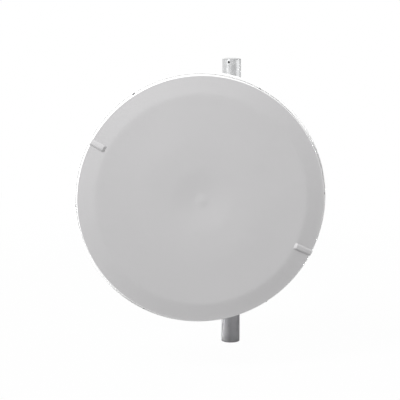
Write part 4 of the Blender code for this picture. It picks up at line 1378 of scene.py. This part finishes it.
feedSizes = {
    "hubRadius": 0.050, "neckRadius": 0.026, "hubPlate": 0.006, "plateDrop": 0.002, "hubLength": 0.040,
    "tubeRadius": 0.0125, "boreRadius": 0.010, "gap": 0.0003, "neckGroove": 0.0006, "insertRadius": 0.0175,
    "flangeSide": 0.064, "flangeThickness": 0.008, "flangeCorner": 0.006, "flangeHole": 0.0022,
    "flangeHoleAt": 0.0245, "grooveInner": 0.0140, "grooveOuter": 0.0160, "grooveDepth": 0.0012,
    "splashRadius": 0.030, "splashNeck": 0.0155, "splashThickness": 0.004,
    "mouthDrop": 0.012, "plugDepth": 0.010,
}
feedVertexBack = dishHeight(0, dishSizes) - dishSizes["wall"]
hubBack, hubPlateBack = feedVertexBack - feedSizes["hubLength"], feedVertexBack - feedSizes["hubPlate"]


def makeFeedHub(sizes):
    # a round plate on the reflector's back, with a neck that has one turned groove
    bore, radius = sizes["tubeRadius"] + sizes["gap"], sizes["hubRadius"]
    neck, groove = sizes["neckRadius"], sizes["neckRadius"] - sizes["neckGroove"]

    def seatAt(r):
        return dishBack(r, dishSizes["wall"]) - sizes["gap"]

    profile = [(r, seatAt(r)) for r in [bore + (radius - bore) * step / 6 for step in range(7)]]
    profile += softened([
        (radius, seatAt(radius)), (radius, hubPlateBack, 0.0010),
        (neck, hubPlateBack - sizes["plateDrop"], 0.0040),
        (neck, hubBack + 0.010, 0.0004), (groove, hubBack + 0.0094), (groove, hubBack + 0.0084),
        (neck, hubBack + 0.0078, 0.0004), (neck, hubBack, 0.0005), (bore, hubBack),
    ], 4)[1:]
    turnedPiece("feedHub", profile, 96, turnedAluminium, ["feed_hub"])


def makeFlange(sizes):
    # a square flange with four holes; its turned insert has the groove for a sealing ring
    half, deep = sizes["flangeSide"] / 2, sizes["flangeThickness"]
    corners = ((-half, -half), (half, -half), (half, half), (-half, half))
    outline = softened([(x, y, sizes["flangeCorner"]) for x, y in corners], 8)
    at = sizes["flangeHoleAt"]
    holes = [circlePoints((x, y), sizes["flangeHole"], 24) for x in (-at, at) for y in (-at, at)]
    holes.append(circlePoints((0, 0), sizes["insertRadius"], 64))
    bore, rim = sizes["boreRadius"], sizes["insertRadius"] + 0.0003
    back, groove = -deep / 2, sizes["grooveDepth"]
    insert = turnedShape([
        (bore, back + 0.0004), (bore + 0.0004, back), (sizes["grooveInner"], back),
        (sizes["grooveInner"], back + groove), (sizes["grooveOuter"], back + groove),
        (sizes["grooveOuter"], back),
        (rim, back), (rim, deep / 2), (bore, deep / 2),
    ], 64)
    flange = joined([(plateShape(outline, holes, deep, 0.0005), asDrawn), (insert, asDrawn)])
    place = dishPlace @ Matrix.Translation((0, 0, hubBack - sizes["gap"] - deep / 2))
    node = "waveguide_flange"
    makePiece("waveguideFlange", flange, turnedAluminium, place, "dish", [node], plate=True)


def makeFeedTube(sizes):
    # the guide from the flange to the focus, and the splash plate that its plug holds there
    focus = dishHeight(0, dishSizes) + dishSizes["focalLength"]
    mouth = focus - sizes["mouthDrop"]
    outer, bore, gap = sizes["tubeRadius"], sizes["boreRadius"], sizes["gap"]
    tube = softened([(outer, mouth, 0.0004), (outer, hubBack), (bore, hubBack), (bore, mouth, 0.0004)], 2)
    turnedPiece("feedTube", tube, 64, turnedAluminium, ["feed_tube"])
    wide, thick = sizes["splashRadius"], sizes["splashThickness"]
    plug, foot = bore - gap, mouth - sizes["plugDepth"]
    splash = softened([
        (0, focus + thick), (wide, focus + thick, 0.0008), (wide, focus, 0.0008),
        (sizes["splashNeck"], mouth + gap, 0.0006), (plug, mouth + gap), (plug, foot, 0.0005), (0, foot),
    ], 3)
    turnedPiece("subReflector", splash, 64, turnedAluminium, ["sub_reflector"])


makeFeedHub(feedSizes)
makeFlange(feedSizes)
makeFeedTube(feedSizes)
print("feed made")


# small fasteners and welds

screwSizes = {
    "rim": {
        "count": 6, "ring": 0.30695, "height": -0.0115, "first": 32.2 + 90, "radius": 0.0039, "tall": 0.0026,
        "recess": 0.0011,
    },
    "hub": {"count": 6, "ring": 0.040, "first": 15, "radius": 0.0042, "tall": 0.0040},
    "rivet": {"count": 12, "ring": 0.1735, "first": 15, "radius": 0.0040, "tall": 0.0020},
    "plateBolt": {
        "flats": 0.010, "tall": 0.0042, "washerRadius": 0.0064, "washer": 0.0014, "ring": 0.152,
        "angles": (-22, 22, 158, 180, 202),
    },
    "sunk": 0.0006,  # how far a head reaches into the surface that it sits on
    "sides": 24,
}


def panHead(radius, tall, recess, sizes):
    # a domed head with a cross recess pressed into its crown
    sides = sizes["sides"]
    bm = bmesh.new()
    crown = [
        (0, tall - recess), (radius * 0.16, tall - recess), (radius * 0.42, tall),
        (radius * 0.72, tall * 0.90),
        (radius * 0.93, tall * 0.62), (radius, tall * 0.28), (radius, -sizes["sunk"]),
    ]
    rings = []
    for ring, (r, h) in enumerate(crown):
        if r == 0:
            rings.append([bm.verts.new((0, 0, h))])
            continue
        row = []
        for step in range(sides):
            angle = math.tau * step / sides
            arm = abs(math.cos(2 * angle)) > 0.7
            own = h if ring != 2 or not arm else tall - recess * 0.75
            row.append(bm.verts.new((r * math.cos(angle), r * math.sin(angle), own)))
        rings.append(row)
    for lower, upper in zip(rings, rings[1:]):
        for step in range(sides):
            after = (step + 1) % sides
            if len(lower) == 1:
                bm.faces.new((lower[0], upper[step], upper[after]))
            else:
                bm.faces.new((lower[step], upper[step], upper[after], lower[after]))
    bm.faces.new(list(reversed(rings[-1])))
    return bm


def socketHead(radius, tall, sizes):
    # cap screw with a hexagon socket
    floor, foot = tall - radius * 0.5, -sizes["sunk"]
    profile = softened([
        (radius * 0.50, floor), (radius * 0.50, tall), (radius, tall, radius * 0.12),
        (radius, foot), (0, foot),
    ], 2)
    return turnedShape([(0, floor)] + profile, sizes["sides"])


def domeHead(radius, tall, sizes):
    dome = [(radius * math.sin(a), tall * math.cos(a)) for a in (0.35, 0.7, 1.05, 1.35, 1.57)]
    return turnedShape([(0, tall), *dome, (radius, -sizes["sunk"]), (0, -sizes["sunk"])], 20)


def makePattern(name, shape, material):
    # a fastener standing on Z = 0, for the node trees to repeat
    return makePiece(name, shape, material, asDrawn, sharp=25)


def makeSmallFasteners(sizes):
    rim, hub, rivet, bolt = sizes["rim"], sizes["hub"], sizes["rivet"], sizes["plateBolt"]
    crossHead = panHead(rim["radius"], rim["tall"], rim["recess"], sizes)
    rimScrew = makePattern("rimScrewPattern", crossHead, darkScrew)
    hubScrew = makePattern("hubScrewPattern", socketHead(hub["radius"], hub["tall"], sizes), boltSteel)
    rivetHead = makePattern("rivetPattern", domeHead(rivet["radius"], rivet["tall"], sizes), boltSteel)
    boltHead = makePattern("plateBoltPattern", joined([
        (washerShape(0.002, bolt["washerRadius"], bolt["washer"]), asDrawn),
        (hexShape(bolt["flats"], bolt["tall"], False, sizes["sides"]), lifted(bolt["washer"])),
    ]), boltSteel)

    across = feedSizes["hubRadius"] - feedSizes["neckRadius"]
    hubHeight = hubPlateBack - feedSizes["plateDrop"] * (feedSizes["hubRadius"] - hub["ring"]) / across
    slope = rivet["ring"] / (2 * dishSizes["focalLength"])
    footBack = dishBack(rivet["ring"], dishSizes["wall"] + ringSizes["gap"] + ringSizes["wall"])
    for name, own, height, tilt, seed, pattern, material in (
        ("rimScrews", rim, rim["height"], 0.0, 4, rimScrew, darkScrew),
        ("hubScrews", hub, hubHeight, math.pi / 2, 7, hubScrew, boltSteel),
        ("ringRivets", rivet, footBack, math.pi / 2 - math.atan(slope), 2, rivetHead, boltSteel),
    ):
        growPiece(name, ringTree, {
            "Count": own["count"], "Ring Radius": own["ring"], "Height": height, "Tilt": tilt,
            "First Angle": math.radians(own["first"]), "Seed": seed,
            "Fastener": pattern, "Material": material,
        }, dishPlace, "dish", sharp=30)

    angles = [math.radians(angle) for angle in bolt["angles"]]
    spots = [(bolt["ring"] * math.cos(a), -bolt["ring"] * math.sin(a), 0) for a in angles]
    behind = Matrix.Translation((dishCentre.x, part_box("mount_plate")[1].y, dishCentre.z))
    behind = behind @ Matrix.Rotation(-math.pi / 2, 4, "X")
    values = {"Seed": 5, "Fastener": boltHead, "Material": boltSteel}
    guide = guideMesh(spots)
    growPiece("plateBolts", pointTree, values, behind, "dish", source=guide, sharp=25)
    for pattern in (rimScrew, hubScrew, rivetHead, boltHead):
        bpy.data.objects.remove(pattern)


makeSmallFasteners(screwSizes)

weldSizes = {"beadRadius": 0.0021, "pitch": 0.0017, "unevenness": 0.14, "inset": 0.003}


def makeWelds(body, kind, seat, bottom, top, sizes):
    # a bead down each side of two plates, where they stand on a third
    points = []
    for side in ("left", "right"):
        low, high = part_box(kind + "_" + side)
        for x in (low.x, high.x):
            points.append((x, seat, pivotPoint.z + bottom + sizes["inset"]))
            points.append((x, seat, pivotPoint.z + top - sizes["inset"]))
    runs = [(first, first + 1) for first in range(0, len(points), 2)]
    growPiece(body + "Welds", weldTree, {
        "Bead Radius": sizes["beadRadius"], "Ripple Pitch": sizes["pitch"], "Unevenness": sizes["unevenness"],
        "Seed": 3, "Material": weldMetal,
    }, asDrawn, body, source=guideMesh(points, runs), sharp=60)


earSeat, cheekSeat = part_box("mount_plate")[1].y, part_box("bracket_web")[0].y
makeWelds("dish", "tilt_ear", earSeat, pivotSizes["earBottom"], pivotSizes["earTop"], weldSizes)
makeWelds("bracket", "bracket_cheek", cheekSeat, pivotSizes["cheekBottom"], pivotSizes["cheekTop"], weldSizes)
print("fasteners and welds made")


# floor, light and camera

floorLook = {
    "level": 0.40, "roughness": 0.9, "near": 0.98, "whiteFrom": 0.9, "whiteTo": 2.6, "wallGlow": 0.7,
    "front": -6.0, "bendStart": 2.0, "bendRadius": 1.5, "bendSteps": 12, "top": 6.0,
    "halfWidth": 7.0, "drop": 0.0005,
}


def makeFloor(look):
    # a pale sweep: floor, bend and wall in one sheet
    start, radius = look["bendStart"], look["bendRadius"]
    angles = [math.pi / 2 * step / look["bendSteps"] for step in range(1, look["bendSteps"] + 1)]
    rows = [(look["front"], 0.0), (start, 0.0)]
    rows += [(start + radius * math.sin(a), radius - radius * math.cos(a)) for a in angles]
    rows.append((start + radius, look["top"]))
    bm = bmesh.new()
    edges = (-look["halfWidth"], look["halfWidth"])
    sheet = [[bm.verts.new((x, y, z - look["drop"])) for x in edges] for y, z in rows]
    for near, far in zip(sheet, sheet[1:]):
        bm.faces.new((near[0], near[1], far[1], far[0]))
    material, kit, place = startMaterial("paleSweep")
    finishMaterial(material, {"Base Color": grey(look["level"]), "Roughness": look["roughness"]})
    seen = kit.node("ShaderNodeLightPath", output="Is Camera Ray")
    x, y, _ = kit.apart(place)
    away = ((x * x + y * y) ** 0.5).between(look["whiteFrom"], look["whiteTo"])  # whiter far from the mast
    wall = y.between(1.6, 3.2) * look["wallGlow"]  # the wall lights the object's back and sides
    white = seen * (away * (1 - look["near"]) + look["near"]) + (1 - seen) * wall
    plain = Wire(kit, material.node_tree.nodes["Principled BSDF"].outputs[0])
    glow = kit.node("ShaderNodeEmission", {}, {"Color": grey(1.0), "Strength": 1.0})
    mixed = kit.node("ShaderNodeMixShader", {}, {0: white, 1: plain, 2: glow})
    kit.tree.links.new(mixed.socket, material.node_tree.nodes["Material Output"].inputs["Surface"])
    mesh = bpy.data.meshes.new("paleSweep")
    bm.to_mesh(mesh)
    bm.free()
    mesh.shade_smooth()
    mesh.materials.append(material)
    floor = bpy.data.objects.new("paleSweep", mesh)
    bpy.context.scene.collection.objects.link(floor)


worldLook = {"ambient": 0.50, "gloss": 0.12}


def makeWorld(look):
    # white to the camera, and dimmer as a light
    world = bpy.data.worlds.new("studio")
    bpy.context.scene.world = world
    world.use_nodes = True
    kit = NodeKit(world.node_tree)
    background = world.node_tree.nodes["Background"]
    background.inputs["Color"].default_value = grey(1.0)
    camera, gloss = kit.node("ShaderNodeLightPath", output=("Is Camera Ray", "Is Glossy Ray"))
    strength = camera * (1.0 - look["ambient"]) + gloss * look["gloss"] + look["ambient"]
    world.node_tree.links.new(strength.socket, background.inputs["Strength"])


# the strips show only in reflections; the fills are narrow, add no shine, and light the foot and the rim
lightLook = {
    "keyLight": {
        "power": 10800.0, "size": (7.7, 7.7), "from": (-0.530, -0.460, 0.712), "distance": 28.0,
        "target": dishCentre,
    },
    "leftStrip": {
        "power": 7.0, "size": (0.85, 2.2), "from": (-0.85, -0.53, 0.10), "distance": 2.4,
        "target": (0, 0, 0.6), "diffuse": False,
    },
    "rightStrip": {
        "power": 20.0, "size": (2.3, 2.2), "from": (0.985, -0.17, 0.10), "distance": 2.4,
        "target": (0, 0, 0.6), "diffuse": False,
    },
    "footFill": {
        "power": 0.24, "size": (0.12, 0.12), "from": (-0.94, 0.33, 0.08), "distance": 1.5,
        "target": (0, 0, 0.05), "gloss": False, "spread": 12,
    },
    "edgeFill": {
        "power": 0.7, "size": (0.5, 0.5), "from": (0.91, 0.38, 0.08), "distance": 3.0, "target": dishCentre,
        "gloss": False, "spread": 16,
    },
    "lowFill": {
        "power": 0.6, "size": (0.4, 0.4), "from": (-0.85, 0.45, -0.20), "distance": 1.5, "target": dishCentre,
        "gloss": False, "spread": 30,
    },
}


def makeLight(name, look):
    light = bpy.data.lights.new(name, "AREA")
    light.shape = "RECTANGLE"
    light.size, light.size_y = look["size"]
    light.energy = look["power"]
    light.spread = math.radians(look.get("spread", 180))
    holder = bpy.data.objects.new(name, light)
    bpy.context.scene.collection.objects.link(holder)
    target = Vector(look["target"])
    holder.location = target + Vector(look["from"]).normalized() * look["distance"]
    holder.rotation_mode = "QUATERNION"
    holder.rotation_quaternion = (target - holder.location).to_track_quat("-Z", "Y")
    holder.visible_camera = False
    holder.visible_diffuse = look.get("diffuse", True)
    holder.visible_glossy = look.get("gloss", True)


cameraLook = {
    "azimuth": -4.720, "elevation": 8.535, "distance": 2.7924, "lens": 102.07,
    "aimLeft": 0.00375, "aimDown": -0.00032,
}


def makeCamera(look):
    azimuth, elevation = math.radians(look["azimuth"]), math.radians(look["elevation"])
    flat = math.cos(elevation)
    back = Vector((math.sin(azimuth) * flat, -math.cos(azimuth) * flat, math.sin(elevation)))
    right = Vector((math.cos(azimuth), math.sin(azimuth), 0))
    up = back.cross(right)
    camera = bpy.data.cameras.new("camera")
    camera.sensor_width = 36
    camera.lens = look["lens"]
    holder = bpy.data.objects.new("camera", camera)
    bpy.context.scene.collection.objects.link(holder)
    holder.matrix_world = Matrix((
        (right.x, up.x, back.x, 0), (right.y, up.y, back.y, 0), (right.z, up.z, back.z, 0), (0, 0, 0, 1),
    ))
    holder.location = dishCentre + back * look["distance"] - right * look["aimLeft"] - up * look["aimDown"]
    bpy.context.scene.camera = holder
    bpy.context.scene.view_settings.view_transform = "Standard"


makeFloor(floorLook)
makeWorld(worldLook)
for lightName, ownLook in lightLook.items():
    makeLight(lightName, ownLook)
makeCamera(cameraLook)
print("stage made")

bpy.context.view_layer.update()
